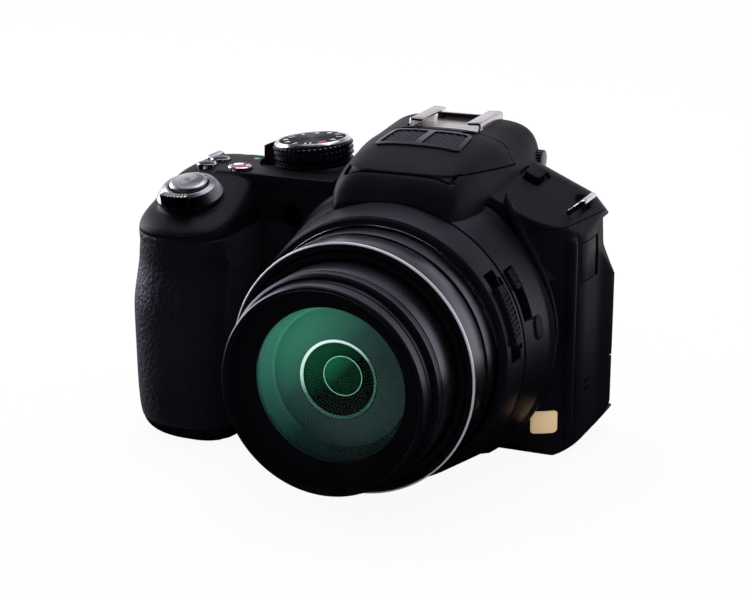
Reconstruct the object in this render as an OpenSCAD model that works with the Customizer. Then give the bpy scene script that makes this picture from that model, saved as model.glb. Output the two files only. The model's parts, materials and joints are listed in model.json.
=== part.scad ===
// Bridge camera: fixed zoom lens, electronic viewfinder and swing-out screen.
// Millimetres. +Z is up, the lens looks along -Y, and the origin is the mouth of the tripod socket.

/* [Body] */
// Lens axis to the right side of the body
body_right = 48.8; // [48:0.2:51]
// Lens axis to the outside of the grip
grip_side = 75.8; // [75:0.2:77]
// Tripod socket to the front face
body_front = 17; // [16:0.5:19]
// Tripod socket to the rear rim
body_back = 18; // [17.5:0.5:21]
// Lens axis above the base
axis_z = 34.6; // [34.4:0.1:36]
// Top deck above the base
deck_z = 72; // [71:0.5:74]
// Front right corner radius, seen from above
corner_r = 16; // [12:1:17]
// Wall of the covers
wall = 2.4; // [2:0.1:3]
// Lower edge of the top cover on the right
shoulder_seam = 64.5; // [63:0.5:66]

/* [Grip] */
// How far the grip stands in front of the front face
grip_reach = 31; // [29:0.5:34]
// Width of the grip
grip_w = 30.3; // [29.5:0.1:32]
// Thickness of the grip rubber
rubber_t = 1.6; // [1.2:0.1:2]
// Top edge of the grip rubber
rubber_top = 59.5; // [57:0.5:61]
// Bottom edge of the grip rubber
rubber_bottom = 5; // [4:0.5:8]
// Fall of the deck towards the shutter button
deck_fall = 16; // [12:1:20]

/* [Hump] */
// Top of the hump
hump_z = 85; // [84:0.5:88]
// Half width of the hump at its foot
hump_half = 26; // [24:0.5:28]
// How far the hump reaches over the lens collar
hump_reach = 17; // [15:0.5:18]
// Seam of the flash lid
lid_z = 77.2; // [76:0.2:78]
// Rear edge of the flash lid
lid_back = 3; // [2:0.5:4]

/* [Lens] */
// Outer radius of the bright front trim ring
trim_r = 33.5; // [33:0.1:34]
// Tripod socket to the front of the fixed barrel
barrel_front = 60; // [57:0.5:64]
// How far the front tube stands out of the barrel
tube_reach = 18.9; // [16:0.1:22]
// Zoom travel of the front tube
zoom_travel = 60; // [40:1:62]
// Radius of the filter thread
filter_r = 26; // [25.5:0.25:26.5]
// Radius of the clear front glass
glass_r = 19.6; // [18:0.2:21]
// Foot radius of the lens collar
collar_r = 40.2; // [39:0.2:41]

/* [Controls] */
// Radius of the mode dial
dial_r = 11.4; // [10.5:0.1:11.8]
// Lean of the mode dial
dial_lean = 5; // [3:1:6]
// Radius of the shutter button
shutter_r = 5.6; // [5:0.1:6]
// Radius of the small round buttons
button_r = 2.8; // [2.4:0.1:3]
// Travel of the buttons
press = 0.8; // [0.5:0.1:1]

/* [Screen] */
// Width of the screen housing
screen_w = 68; // [64:1:69]
// Height of the screen housing
screen_h = 56; // [52:1:57]
// Thickness of the screen housing
screen_t = 6; // [5.5:0.1:6.4]

/* [Mounts] */
// Radius of the quarter inch tripod socket
socket_r = 3.2; // [3.1:0.05:3.3]
// Outer width of the accessory shoe
shoe_w = 21.3; // [21:0.1:22]
// Length of the accessory shoe
shoe_l = 18.6; // [18:0.1:19]

/* [Fits] */
// Running clearance between moving pieces
gap = 0.3; // [0.25:0.05:0.4]
// Clearance of hinge pins
pin_gap = 0.08; // [0.05:0.01:0.1]

/* [Hidden] */
$fn = 40;

black = [0.06, 0.06, 0.07];
rubber = [0.1, 0.1, 0.11];
steel = [0.75, 0.75, 0.74];
big = 400;

// Parting planes and walls
part_y = -8.7;
side_x = body_right - 3;
swell_top = shoulder_seam - 9;
grip_part_y = 2;
grip_x0 = -grip_side;
grip_x1 = grip_w - grip_side;
grip_y0 = -body_front - grip_reach;
grip_y1 = body_back - 3;
part_x = grip_x1 - 0.5;
deck_seam = deck_z - 2;
deck_turn_y = -13;
hump_y0 = -body_front - hump_reach;
front_inner = wall - body_front;
back_floor = body_back - screen_t + 0.2;
cavity_back = back_floor - wall;
cavity_left = part_x + 5;
cavity_right = body_right - 6;
cavity_floor = 4.2;

// Lens stations, measured forward from the tripod socket
bore_r = trim_r - 2.2;
rear_tube_r = bore_r - gap;
tube_wall = 1.9;
front_tube_r = rear_tube_r - tube_wall - gap;
collar_front = barrel_front - 16.4;
trim_gap = 0.8;
collar_bore = trim_r + 0.1;
collar_wall = collar_r - collar_bore;
collar_draw = 0.606 * collar_wall;
slot_floor = collar_bore + 0.152 * collar_wall;
lever_foot = collar_bore + 0.197 * collar_wall;
lever_face = collar_bore + 0.712 * collar_wall;
switch_floor = collar_bore + 0.227 * collar_wall;
switch_foot = collar_bore + 0.273 * collar_wall;
switch_face = collar_bore + 0.848 * collar_wall;
focus_floor = collar_bore + 0.364 * collar_wall;
focus_face = collar_bore + 0.879 * collar_wall;
tight_press = min(press, 0.12 * collar_wall);
tube_front = barrel_front + tube_reach;
tube_overlap = 7.7;
tube_back = barrel_front - gap - zoom_travel / 2 - tube_overlap;
ring_l = 8.5;
barrel_back = -front_inner - 1;
chassis_t = 2.5;
cell_r = 14.7;

// Shutter, dial and deck buttons
shutter_x = grip_x0 + 15.8;
shutter_y = grip_y0 + 17;
shutter_z = deck_seam + 2 + (shutter_y - deck_turn_y) * tan(deck_fall) + 0.5;
lever_r = shutter_r + 3.7;
seat_r = lever_r + 1.5;
stem_r = 2;
button_sink = 3.2;
dial_x = -38;
dial_y = 2.3;
dial_stem = 4;
tab_r = dial_r + 3.6;
button_spots = [[-54, -13, 3.4], [-64, -5.5, button_r], [-64.6, -12.6, button_r]];

// Hump and eyepiece
lid_round = 2.4;
lid_pivot_y = lid_back - lid_round;
lid_pivot_z = hump_z - lid_round;
lid_pin_r = 1;
eye_half = 14;
eye_z0 = shoulder_seam + 1.5;
eye_z1 = hump_z - 3;
eye_y1 = 26.5;
cup_l = 4.2;
shoe_y = 5;
shoe_floor = hump_z - 1.1;

// Screen hinge
screen_x1 = body_right - 8.8;
screen_x0 = screen_x1 - screen_w;
screen_z0 = 6.5;
screen_y0 = body_back + 0.6 - screen_t;
hinge_x = screen_x1 + 4;
hinge_y = screen_y0 + 2.2;
knuckle_r = 3.2;
hinge_mid = screen_z0 + screen_h / 2;
knuckle_h = 4.8;
pin_r = 1.2;
hinge_half = 11;

// Battery bay
bay_x0 = grip_x0 + 7.4;
bay_x1 = grip_x1 - 3.7;
bay_y0 = grip_y0 + 12;
bay_y1 = 0.8;
bay_top = 47.6;
card_x0 = bay_x1 + 1.2;
card_x1 = card_x0 + 2.7;
card_y0 = -12;
card_y1 = 11.6;
door_t = 2;

function unit(v) = v / norm(v);

// Arc that rounds the corner b of the path a, b, c
function fillet(a, b, c, r, n) =
    let (u = unit(a - b), v = unit(c - b), half = acos(u * v) / 2,
        m = b + unit(u + v) * r / sin(half), p = b + u * r / tan(half), q = b + v * r / tan(half),
        start = atan2(p.y - m.y, p.x - m.x), d = atan2(q.y - m.y, q.x - m.x) - start,
        turn = d > 180 ? d - 360 : d < -180 ? d + 360 : d)
    [for (i = [0:n]) m + r * [cos(start + turn * i / n), sin(start + turn * i / n)]];

// Closed outline from [x, y, corner radius] points
function soft(points, n = 6) =
    let (k = len(points))
    [for (i = [0:k - 1])
        let (p = points[i], a = points[(i + k - 1) % k], b = points[(i + 1) % k])
        each p[2] > 0 ? fillet([a.x, a.y], [p.x, p.y], [b.x, b.y], p[2], n) : [[p.x, p.y]]];

function soft_box(x0, x1, y0, y1, r, n = 6) = soft([[x0, y0, r], [x1, y0, r], [x1, y1, r], [x0, y1, r]], n);

// Closed solid through rings of equal count that run counter-clockwise up the stack
module loft(rings) {
    n = len(rings[0]);
    m = len(rings);
    sides = [for (j = [0:m - 2], i = [0:n - 1])
        let (a = j * n + i, b = j * n + (i + 1) % n)
        each [[a, a + n, b + n], [a, b + n, b]]];
    caps = [[for (i = [0:n - 1]) i], [for (i = [n - 1:-1:0]) (m - 1) * n + i]];
    polyhedron([for (r = rings) each r], concat(caps, sides), convexity = 8);
}

module block(lo, hi) {
    translate(lo) cube(hi - lo);
}

// Rounded pocket or pad between two corners, with upright edges of radius r
module pocket(lo, hi, r = 1.5) {
    hull()
        for (x = [lo.x + r, hi.x - r], y = [lo.y + r, hi.y - r])
            translate([x, y, lo.z]) cylinder(r = r, h = hi.z - lo.z, $fn = 16);
}

// Extruded outline in the plane of X and Z, from y0 back to y1
module front_extrude(points, y0, y1) {
    translate([0, y1, 0]) rotate([90, 0, 0]) linear_extrude(y1 - y0) polygon(points);
}

// Children stand on the lens axis, with their +Z to the front
module on_lens() {
    translate([0, 0, axis_z]) rotate([90, 0, 0]) children();
}

// Solid of revolution on the lens axis from [radius, forward station] points
module lens_turn(points) {
    on_lens() rotate_extrude($fn = 96) polygon(points);
}

// Arc block on the lens axis, angles measured from +X towards +Z
module lens_arc(r0, r1, f0, f1, a0, a1) {
    on_lens() rotate([0, 0, a0]) rotate_extrude(angle = a1 - a0, $fn = 96)
        translate([r0, f0]) square([r1 - r0, f1 - f0]);
}

module at_shutter() {
    translate([shutter_x, shutter_y, shutter_z]) rotate([deck_fall, 0, 0]) children();
}

module at_dial() {
    translate([dial_x, dial_y, deck_z]) rotate([0, -dial_lean, 0]) children();
}

// Outline of the body seen from above, drawn in by d
function plan_outline(d) = soft([[-60, d - body_front, 0],
    [side_x - 8.8 - 0.47 * d, d - body_front, corner_r - d],
    [side_x - 0.9 - 0.9 * d, 9.5 - body_front + 0.4 * d, 10 - d],
    [side_x - d, 5 + 0.2 * d, 8],
    [body_right - d, 10.5 + 0.2 * d, 6 - d],
    [body_right - d, body_back - d, 5.5 - d],
    [screen_x0 - 2.5, body_back - d, 2],
    [screen_x0 - 6, grip_y1 - d, 2],
    [-60, grip_y1 - d, 0]], 8);

// Tilted top of the right shoulder: everything above a plane through the hump's foot
module shoulder_slope(fall, lean, x, z) {
    translate([x, 10, z]) rotate([lean, fall, 0]) block([-9, -60, 0], [60, 60, 60]);
}

// Rounding of the rear edge of the deck between two stations
module deck_round(x0, x1, y1, r) {
    difference() {
        block([x0, y1 - r, deck_z - r], [x1, big, big]);
        translate([0, y1 - r, deck_z - r]) rotate([90, 0, 90])
            cylinder(r = r, h = big, center = true, $fn = 64);
    }
}

// Middle block of the body: plan, front and side outlines intersected
module core() {
    front = soft([[-60, 0, 0], [body_right, 0, 12], [body_right, swell_top - 9, 5],
        [side_x - 0.2, swell_top, 5],
        [side_x - 0.5, shoulder_seam - 2.5, 3], [side_x - 0.5, deck_z + 3.6, 0], [-20, deck_z + 3.6, 0],
        [-24, deck_z, 0], [-60, deck_z, 0]]);
    side = soft([[-body_front, 0, 6], [body_back, 0, 5], [body_back, big / 4, 0],
        [-body_front, big / 4, 0]]);
    difference() {
        intersection() {
            linear_extrude(big / 4) polygon(plan_outline(0));
            front_extrude(front, -body_front - 1, body_back + 1);
            translate([-big / 2, 0, 0]) rotate([90, 0, 90]) linear_extrude(big) polygon(side);
        }
        shoulder_slope(24.2, 10.8, hump_half + 1, deck_z + 3.4);
        shoulder_slope(49, 7.9, hump_half + 15.4, deck_z - 3.1);
        deck_round(-big / 4, screen_x0 - 3, grip_y1, 12);
        deck_round(screen_x0 - 4, -22, body_back, 8);
    }
    translate([side_x - 3.3, part_y - 1.9, 6]) cylinder(r = 1.7, h = shoulder_seam - 9, $fn = 24);
}

// Grip stations by height: how far each side draws in from its widest
grip_left_in = [[0, 3.6], [1.5, 1.6], [3, 0.6], [5, 0.1], [9, 0], [26, 0.3], [43, 0.6], [48, 0.9],
    [52, 1.4],
    [54.5, 2], [56.5, 2.6], [61, 2.4], [65, 2.4], [67.5, 2.6], [69, 3], [70, 3.8], [71, 5.4], [72, 8]];
grip_front_in = [[0, 8.5], [1.5, 6], [4, 3.8], [10, 1.8], [25, 0.5], [38, 0], [51, 2.6], [56, 1.6],
    [60, 1.2],
    [61.5, 2], [63, 4.5], [65, 10.5], [67, 16.5], [69, 23], [71, 30], [72, 34]];
grip_right_in = [[0, 2], [4, 0.5], [10, 0], [62, 0], [72, 4]];
grip_back_in = [[0, 4], [4, 1], [9, 0], [60, 0], [64, 1], [67, 2.5], [69, 4.3], [70.5, 6.5], [71.5, 9],
    [72, 13]];
grip_levels = [0, 1.5, 4, 10, 25, 40, 50, 56, 60, 61.5, 63, 65, 67, 69, 70.5, 71.4, 72];
level_scale = deck_z / 72;

function grip_ring(h, d) =
    let (x0 = grip_x0 + lookup(h, grip_left_in) + d, x1 = grip_x1 - lookup(h, grip_right_in) - d,
        y0 = grip_y0 + lookup(h, grip_front_in) + d, y1 = grip_y1 - lookup(h, grip_back_in) - d,
            w = x1 - x0)
    [for (p = soft([[x0, y0, w * 0.5], [x1, y0, w * 0.33], [x1, y1, w * 0.15], [x0, y1, w * 0.33]], 4))
        [p.x, p.y, h * level_scale]];

module grip_solid(d = 0) {
    loft([for (h = grip_levels) grip_ring(h, d)]);
}

// Hump sections run from front to back: [y, half width, top, squareness]
hump_stations = [[hump_y0, hump_half - 9.5, lid_z - 5, 5], [hump_y0 + 2, hump_half - 8.6, lid_z - 1.2, 5],
    [hump_y0 + 4.5, hump_half - 7.5, lid_z + 1.6, 4.5], [hump_y0 + 12, hump_half - 5.4, hump_z - 3, 3.7],
    [hump_y0 + 22, hump_half - 3.4, hump_z - 0.6, 3.2], [hump_y0 + 34, hump_half - 1.2, hump_z, 3.2],
    [hump_y0 + 44, hump_half - 0.8, hump_z, 3.4], [hump_y0 + 51, hump_half - 2, hump_z, 4.2],
    [hump_y0 + 56, hump_half - 3.4, hump_z - 0.2, 5], [hump_y0 + 58.2, hump_half - 4.6, hump_z - 1.6, 5],
    [hump_y0 + 59.3, hump_half - 6.4, hump_z - 3.6, 5]];
hump_foot = shoulder_seam - 2.5;

function power(v, e) = sign(v) * pow(abs(v), e);

function hump_ring(s, foot) = [for (i = [0:24])
    let (a = 180 - i * 180 / 24)
    [s[1] * power(cos(a), 2 / s[3]), s[0], foot + (s[2] - foot) * power(sin(a), 2 / s[3])]];

module hump() {
    loft([for (s = hump_stations) hump_ring(s, hump_foot)]);
}

// Flanks that run down from the hump round the top of the lens collar
cowl_foot = shoulder_seam - 14.5;
cowl_top = lid_z - 2;
cowl_stations = [[hump_y0, hump_half - 6, cowl_top - 3, 1.6],
    [hump_y0 + 2, hump_half - 2.5, cowl_top - 1, 1.6],
    [hump_y0 + 6, hump_half + 3.5, cowl_top, 1.55], [hump_y0 + 12, hump_half + 9, cowl_top, 1.5],
    [4 - body_front, hump_half + 14, cowl_top, 1.5]];

module cowl() {
    loft([for (s = cowl_stations) hump_ring(s, cowl_foot)]);
}

module eyepiece_block() {
    front_extrude(soft_box(-eye_half, eye_half, eye_z0, eye_z1, 4), 10, eye_y1);
}

// Outside of the closed housing
module housing() {
    core();
    grip_solid();
    difference() {
        hump();
        block([-big, body_back - 0.3, 0], [big, big, shoulder_seam + 1]);
    }
    cowl();
    eyepiece_block();
    at_shutter() translate([0, 0, -3]) cylinder(r = lever_r - 0.3, h = 3);
    at_dial() translate([0, 0, -8]) cylinder(r = dial_r + 0.4, h = 8);
}

// Room above the top cover's seam
module top_zone() {
    block([part_x + 1, -big, cowl_foot - 1], [big / 4, -body_front - 0.2, big / 2]);
    block([-24, -big, shoulder_seam], [big, big, big]);
    block([-big, deck_turn_y - 12, deck_seam], [-20, big, big]);
    translate([0, deck_turn_y, deck_seam]) rotate([deck_fall, 0, 0])
        block([-big, -big, 0], [-20, 0, big / 2]);
    intersection() {
        translate([shutter_x + 4, deck_turn_y, deck_seam]) rotate([deck_fall, -17, 0])
            block([-big / 4, -big / 4, 0], [0, 0, big / 2]);
        block([-big, -big, rubber_top + 0.6], [big, big, big]);
    }
}

// Room in front of the parting line
module front_zone() {
    block([-big, -big, -1], [part_x, grip_part_y, big]);
    block([part_x - 5, -big, -1], [big, part_y, big]);
}

// Outside of the lens collar, grown by d
function collar_rim(d) = [[collar_r + 1 + d, body_front + 1.6 + d],
    [collar_r + 0.5 + d, body_front + 2.6 + d],
    [collar_r - 0.3 + d, body_front + 3 + d], [collar_r - collar_draw + d, collar_front - 0.6 + d]];

module collar_room() {
    lens_turn(concat([[collar_bore - 1, body_front - gap], [collar_r + 1 + gap, body_front - gap]],
        collar_rim(gap),
        [[collar_r - collar_draw + gap, collar_front + 20], [collar_bore - 1, collar_front + 20]]));
}

// Seat of the lens collar on the front face
module collar_seat() {
    f = body_front - 0.02;
    r = collar_r + 1 + gap;
    lens_turn([[collar_bore - 1, f], [r, f], [r, f + 5], [collar_bore - 1, f + 5]]);
}

// Hollow spaces shared by the covers
module cavities() {
    intersection() {
        linear_extrude(shoulder_seam - 2) polygon(plan_outline(wall));
        pocket([cavity_left, -body_front, cavity_floor], [cavity_right, cavity_back, shoulder_seam - 2.5],
            2);
    }
    pocket([bay_x0, bay_y0, door_t + gap], [bay_x1, bay_y1, bay_top], 4);
    pocket([card_x0, card_y0, door_t + gap], [card_x1, card_y1, 37], 1);
    on_lens() cylinder(r = collar_bore, h = big / 2, $fn = 96);
    pocket([-eye_half + 5, 4, eye_z0 + 1], [eye_half - 5, eye_y1 + 1, eye_z1 - 3]);
}

// Holes of the shutter button, the dial and the deck buttons
module deck_cuts() {
    at_shutter() {
        cylinder(r = seat_r, h = 20);
        translate([0, 0, -8]) cylinder(r = stem_r + gap, h = 20, $fn = 32);
    }
    at_dial() translate([0, 0, -6]) cylinder(r = dial_stem + pin_gap, h = 10);
    for (b = button_spots) translate([b.x, b.y, deck_z - button_sink])
        cylinder(r = b[2] + gap, h = 20, $fn = 32);
    translate([status_x, status_y, deck_z - 3]) cylinder(r = 0.9, h = 6, $fn = 16);
}

module front_cover() {
    color(black) difference() {
        intersection() {
            housing();
            front_zone();
        }
        top_zone();
        collar_seat();
        rubber_band();
        cavities();
        focus_lamp_body(gap / 3);
        deck_cuts();
        battery_door_space(gap, 1);
        badge_body(0.1);
        mic_door_space(gap);
    }
}

// Knuckles of the screen hinge on their arms
module hinge_knuckles() {
    for (s = [-1, 1]) translate([hinge_x, hinge_y, hinge_mid + s * (hinge_half - knuckle_h / 2)]) hull() {
        cylinder(r = knuckle_r, h = knuckle_h, center = true, $fn = 32);
        translate([-1, -7, 0]) cylinder(r = knuckle_r - 1, h = knuckle_h, center = true, $fn = 32);
    }
}

// Recess for the screen, with room for its hinge to swing
module screen_recess() {
    block([screen_x0 - gap, screen_y0 - 0.4, screen_z0 - gap],
        [hinge_x + 0.5, big, screen_z0 + screen_h + gap]);
    translate([hinge_x, hinge_y, screen_z0 - gap]) cylinder(r = 6.4, h = screen_h + 2 * gap, $fn = 48);
}

module rear_cover() {
    color(black) difference() {
        union() {
            difference() {
                intersection() {
                    housing();
                    block([-big, part_y, -1], [big, big, big]);
                }
                screen_recess();
            }
            hinge_knuckles();
        }
        front_zone();
        top_zone();
        cavities();
        translate([hinge_x, hinge_y, hinge_mid])
            cylinder(r = pin_r + pin_gap, h = 2 * hinge_half + 1, center = true);
        mic_door_space(gap);
        terminal_door_space(gap);
        thumb_body(0);
        battery_door_space(gap, 1);
        rear_control_cuts();
        deck_cuts();
        translate([0, 0, -1]) cylinder(r = bush_r + 0.1, h = cavity_floor + 2);
        screw_holes();
        for (y = [-4, -1.8], z = [16.6, 19]) block([side_x - 6, y, z], [body_right + 1, y + 1.3, z + 1.2]);
        lug_holes(-1);
    }
}

module top_cover() {
    color(black) difference() {
        intersection() {
            housing();
            top_zone();
        }
        collar_room();
        cavities();
        flash_cut();
        deck_cuts();
        at_dial() {
            cylinder(r = dial_r + 0.8, h = 20);
            rotate([0, 0, 166]) rotate_extrude(angle = 54) square([tab_r + 0.5, 12]);
        }
        flash_button_body(gap, 0);
        shoe_cut();
        dioptre_cut();
        pocket([hump_half + 2, part_y + 6.7, 55], [hump_half + 10, 9, shoulder_seam + 1.5]);
        pocket([-20, -4, 55], [-14, 12, 70]);
        pocket([14, -4, 55], [20, 12, 70]);
        lug_holes(1);
        lug_holes(-1);
        lug_recess();
        screen_recess();
        focus_lamp_body(gap / 3);
    }
}

// Band of the grip that the rubber covers, clear of the body block
module rubber_band() {
    difference() {
        block([-big, -big, rubber_bottom], [part_x + 1, grip_part_y, rubber_top]);
        block([-60, -body_front, -1], [big, big, big]);
        grip_solid(rubber_t);
    }
}

module grip_rubber() {
    color(rubber) intersection() {
        grip_solid();
        rubber_band();
    }
}

module thumb_body(d) {
    intersection() {
        front_extrude(soft_box(grip_x0 + 5 - d, grip_x0 + 14 + d, 30 - d, 57 + d, 3), grip_y1 - 1.4 - d,
            grip_y1 + 2);
        translate([0, 0.5, 0]) grip_solid();
    }
}

module thumb_rubber() {
    color(rubber) thumb_body(0);
}

badge_x = 37.3;
badge_z = 10.4;
badge_w = 6.4;

// Bare badge let into the curved front corner
module badge_body(d) {
    intersection() {
        front_extrude(soft_box(badge_x - badge_w / 2 - d, badge_x + badge_w / 2 + d,
            badge_z - badge_w / 2 - d, badge_z + badge_w / 2 + d, 1), -body_front - 1, part_y - 1);
        translate([0, 0, -5]) linear_extrude(60) difference() {
            polygon(plan_outline(-0.15));
            polygon(plan_outline(0.9 + d));
        }
    }
}

module badge_plate() {
    color([0.8, 0.62, 0.32]) badge_body(0);
}

bush_r = 6;
bush_h = 7;
screw_spots = [[-30, 8], [34, 8], [-32, -5], [30, -5]];

module screw_holes() {
    for (p = screw_spots) translate([p.x, p.y, -1]) {
        cylinder(r = 2.3, h = 2.4, $fn = 24);
        cylinder(r = 0.9, h = 20, $fn = 24);
    }
}

// Die-cast plate behind the front wall, with a foot for the tripod bush
module chassis() {
    color([0.5, 0.5, 0.52]) difference() {
        union() {
            intersection() {
                block([cavity_left + 0.5, -barrel_back, cavity_floor],
                    [cavity_right - 0.5, chassis_t - barrel_back, 61]);
                translate([0, 0, 1]) linear_extrude(80) polygon(plan_outline(wall + 0.4));
            }
            block([-14, -barrel_back, cavity_floor], [14, cavity_back - 0.4, cavity_floor + 2.6]);
        }
        on_lens() cylinder(r = cell_r + gap, h = 60);
        cylinder(r = bush_r + 0.05, h = 20);
        for (x = [-24, 24], z = [10, 56]) translate([x, 0, z]) rotate([90, 0, 0])
            cylinder(r = 1.2, h = 60, $fn = 24);
    }
}

module tripod_bush() {
    color(steel) difference() {
        union() {
            cylinder(r = bush_r, h = bush_h);
            translate([0, 0, cavity_floor + 2.6])
                cylinder(r = bush_r + 1.5, h = bush_h - cavity_floor - 2.6 + 1);
        }
        translate([0, 0, -1]) cylinder(r = socket_r, h = 6.5);
    }
}

// Cross-head screws in the base
module base_screws() {
    color(steel) for (p = screw_spots) translate([p.x, p.y, 0.3]) difference() {
        union() {
            cylinder(r = 1.9, h = 1.1, $fn = 32);
            translate([0, 0, 1.1]) cylinder(r = 0.8, h = cavity_floor - 1.6, $fn = 32);
        }
        for (a = [0, 90]) rotate([0, 0, a]) block([-1.2, -0.2, -1], [1.2, 0.2, 0.6]);
    }
}

lever_mid = 20;
lever_half = 12;
lever_swing = 6;
lever_f = 38.4;
lever_half_w = 2.2;
switch_f = 30;
switch_mid = 31;
switch_half = 4;
switch_swing = 12;
focus_f = 25.6;
focus_mid = 9;
// Flat of the collar that leaves room for the fingers beside the grip
collar_flat = trim_r + 4;

// Flared surround of the lens with the side controls let into it
module lens_collar() {
    color(black) difference() {
        intersection() {
            lens_turn(concat([[collar_bore, body_front], [collar_r + 1, body_front]], collar_rim(0),
                [[collar_r - collar_draw - 0.6, collar_front], [collar_bore, collar_front]]));
            block([-collar_flat, -big, axis_z - collar_bore - 0.4], [big, big, big]);
        }
        lens_arc(slot_floor, 60, lever_f - lever_half_w - gap, lever_f + lever_half_w + gap,
            lever_mid - lever_half - lever_swing - 1, lever_mid + lever_half + lever_swing + 1);
        lens_arc(switch_floor, 60, switch_f - 2 - gap, switch_f + 2 + gap,
            switch_mid - switch_half - switch_swing - 1, switch_mid + switch_half + 1);
        focus_button_cut();
        block([-big, -big, lid_z - 0.4], [big, big, big]);
        block([-big, -big, lid_z - 2.4], [big, -body_front - 3.4, big]);
    }
}

module lens_barrel() {
    f = barrel_front;
    color(black) lens_turn([[bore_r, f - 1.2], [trim_r - 0.2, f - 1.2], [trim_r - 0.2, f - 9],
        [trim_r - 0.7, f - 9.3],
        [trim_r - 0.7, f - 10.2], [trim_r - 0.1, f - 10.5], [trim_r - 0.1, barrel_back + 2],
        [20, barrel_back + 2], [20, barrel_back], [cell_r + gap, barrel_back],
            [cell_r + gap, barrel_back + 3.2],
        [bore_r, barrel_back + 3.2]]);
}

module front_trim_ring() {
    f = barrel_front;
    color(steel) lens_turn([[bore_r, f - 1.2], [trim_r, f - 1.2], [trim_r, f - 0.4], [trim_r - 0.7, f],
        [bore_r + 0.2, f], [bore_r, f - 0.2]]);
}

module rear_trim_ring() {
    f = collar_front;
    color(steel) lens_turn([[trim_r - 0.1, f], [trim_r + 0.9, f], [trim_r + 0.6, f + trim_gap],
        [trim_r - 0.1, f + trim_gap]]);
}

// Second zoom stage, hidden while the lens is drawn in
module zoom_tube_rear() {
    r = rear_tube_r;
    color(black) lens_turn([[r - tube_wall, tube_back - 1.6], [r, tube_back - 1.6], [r, barrel_front - 0.6],
        [r - 0.3, barrel_front - 0.3], [r - tube_wall + 0.2, barrel_front - 0.3],
            [r - tube_wall, barrel_front - 0.6]]);
}

module zoom_tube_front() {
    r = front_tube_r;
    f = tube_front - ring_l;
    color(black) lens_turn([[r - tube_wall, tube_back], [r, tube_back], [r, f],
        [glass_r + 1.4, f], [glass_r + 1.4, f - 1.6], [glass_r + 0.4, f - 1.6], [11, f - 21], [11, f - 27],
        [10.2, f - 27], [10.2, f - 28.5], [12.6, f - 28.5], [12.6, f - 22.5], [glass_r + 1.8, f - 5],
        [r - tube_wall, f - 5]]);
}

// Front ring with the filter thread and the bare name ring
module filter_ring() {
    r = front_tube_r - 1.5;
    f = tube_front;
    b = f - ring_l;
    color(black) lens_turn([[glass_r + 0.4, b + 2], [glass_r + 1.4, b + 2], [glass_r + 1.4, b],
        [front_tube_r, b], [front_tube_r, f - 6.6], [front_tube_r - 0.6, f - 6], [r, f - 6], [r, f - 0.8],
        [r - 0.6, f], [filter_r + 0.3, f], [filter_r, f - 0.4], [filter_r, f - 4], [filter_r - 0.5, f - 4],
        [glass_r + 0.7, b + 2.8]]);
}

// Arc points of a lens face: radius of the rim, rim station and bulge
function lens_face(r, f, bulge, n) =
    let (s = (r * r + bulge * bulge) / (2 * bulge))
    [for (i = [0:n]) let (x = r * i / n) [x, f + sqrt(s * s - x * x) - s + bulge]];

module front_glass() {
    r = glass_r + 1.2;
    f = tube_front - ring_l;
    front = lens_face(r, f + 1.4, 2.6, 12);
    color([0.1, 0.35, 0.28])
        lens_turn(concat([[0, f - 1.4]], [[r, f - 1.4]], [for (i = [12:-1:0]) front[i]]));
}

module inner_glass() {
    f = tube_front - ring_l - 27;
    front = lens_face(10.8, f + 2, 3.4, 12);
    color([0.05, 0.4, 0.25]) lens_turn(concat([[0, f], [10.8, f]], [for (i = [12:-1:0]) front[i]]));
}

module rear_cell() {
    f = barrel_back - chassis_t;
    color([0.12, 0.12, 0.13])
        lens_turn([[0, f - 12], [11, f - 12], [11, f - 1.8], [cell_r + 3, f - 1.8], [cell_r + 3, f],
        [cell_r, f], [cell_r, barrel_back + 2.4], [9.5, barrel_back + 2.4], [8, barrel_back + 1.4],
            [0, barrel_back + 1.4]]);
}

module image_sensor() {
    y = 12 - barrel_back + chassis_t;
    color([0.15, 0.3, 0.18]) {
        block([-13, y, axis_z - 11], [13, y + 1.2, axis_z + 11]);
        block([-5, y + 1.2, axis_z - 4], [5, cavity_back - 2.8, axis_z + 4]);
    }
}

// Circuit board on four bosses of the rear wall, with its chips
module main_board() {
    y0 = cavity_back - 2.8;
    color([0.1, 0.35, 0.2]) difference() {
        union() {
            block([cavity_left + 2, y0, 8], [cavity_right - 2, y0 + 1.4, 58]);
            for (x = [-30, 36], z = [14, 52]) translate([x, cavity_back, z]) rotate([90, 0, 0])
                cylinder(r = 2.5, h = 2, $fn = 32);
            block([12, y0 - 1.4, 36], [26, y0, 50]);
            block([14, y0 - 1.2, 14], [24, y0, 24]);
            block([-28, y0 - 1.6, 40], [-17, y0, 50]);
            block([-34, y0 - 1.8, 12], [-20, y0, 20]);
        }
        block([-60, y0 - 1, 7], [-34.5, y0 + 3, 12]);
    }
}

module battery() {
    color([0.16, 0.16, 0.18])
        pocket([bay_x0 + 0.4, bay_y0 + 0.4, door_t + 0.4], [bay_x1 - 0.4, bay_y1 - 0.4, 46.6], 3.6);
}

module memory_card() {
    color([0.1, 0.2, 0.45]) translate([card_x0 + 0.3, 0, 0]) rotate([90, 0, 90]) linear_extrude(2.1)
        polygon([[card_y0 + 0.5, door_t + 0.4], [card_y1 - 0.5, door_t + 0.4], [card_y1 - 0.5, 34.4],
            [card_y0 + 4.5, 34.4], [card_y0 + 0.5, 30.4]]);
}

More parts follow.
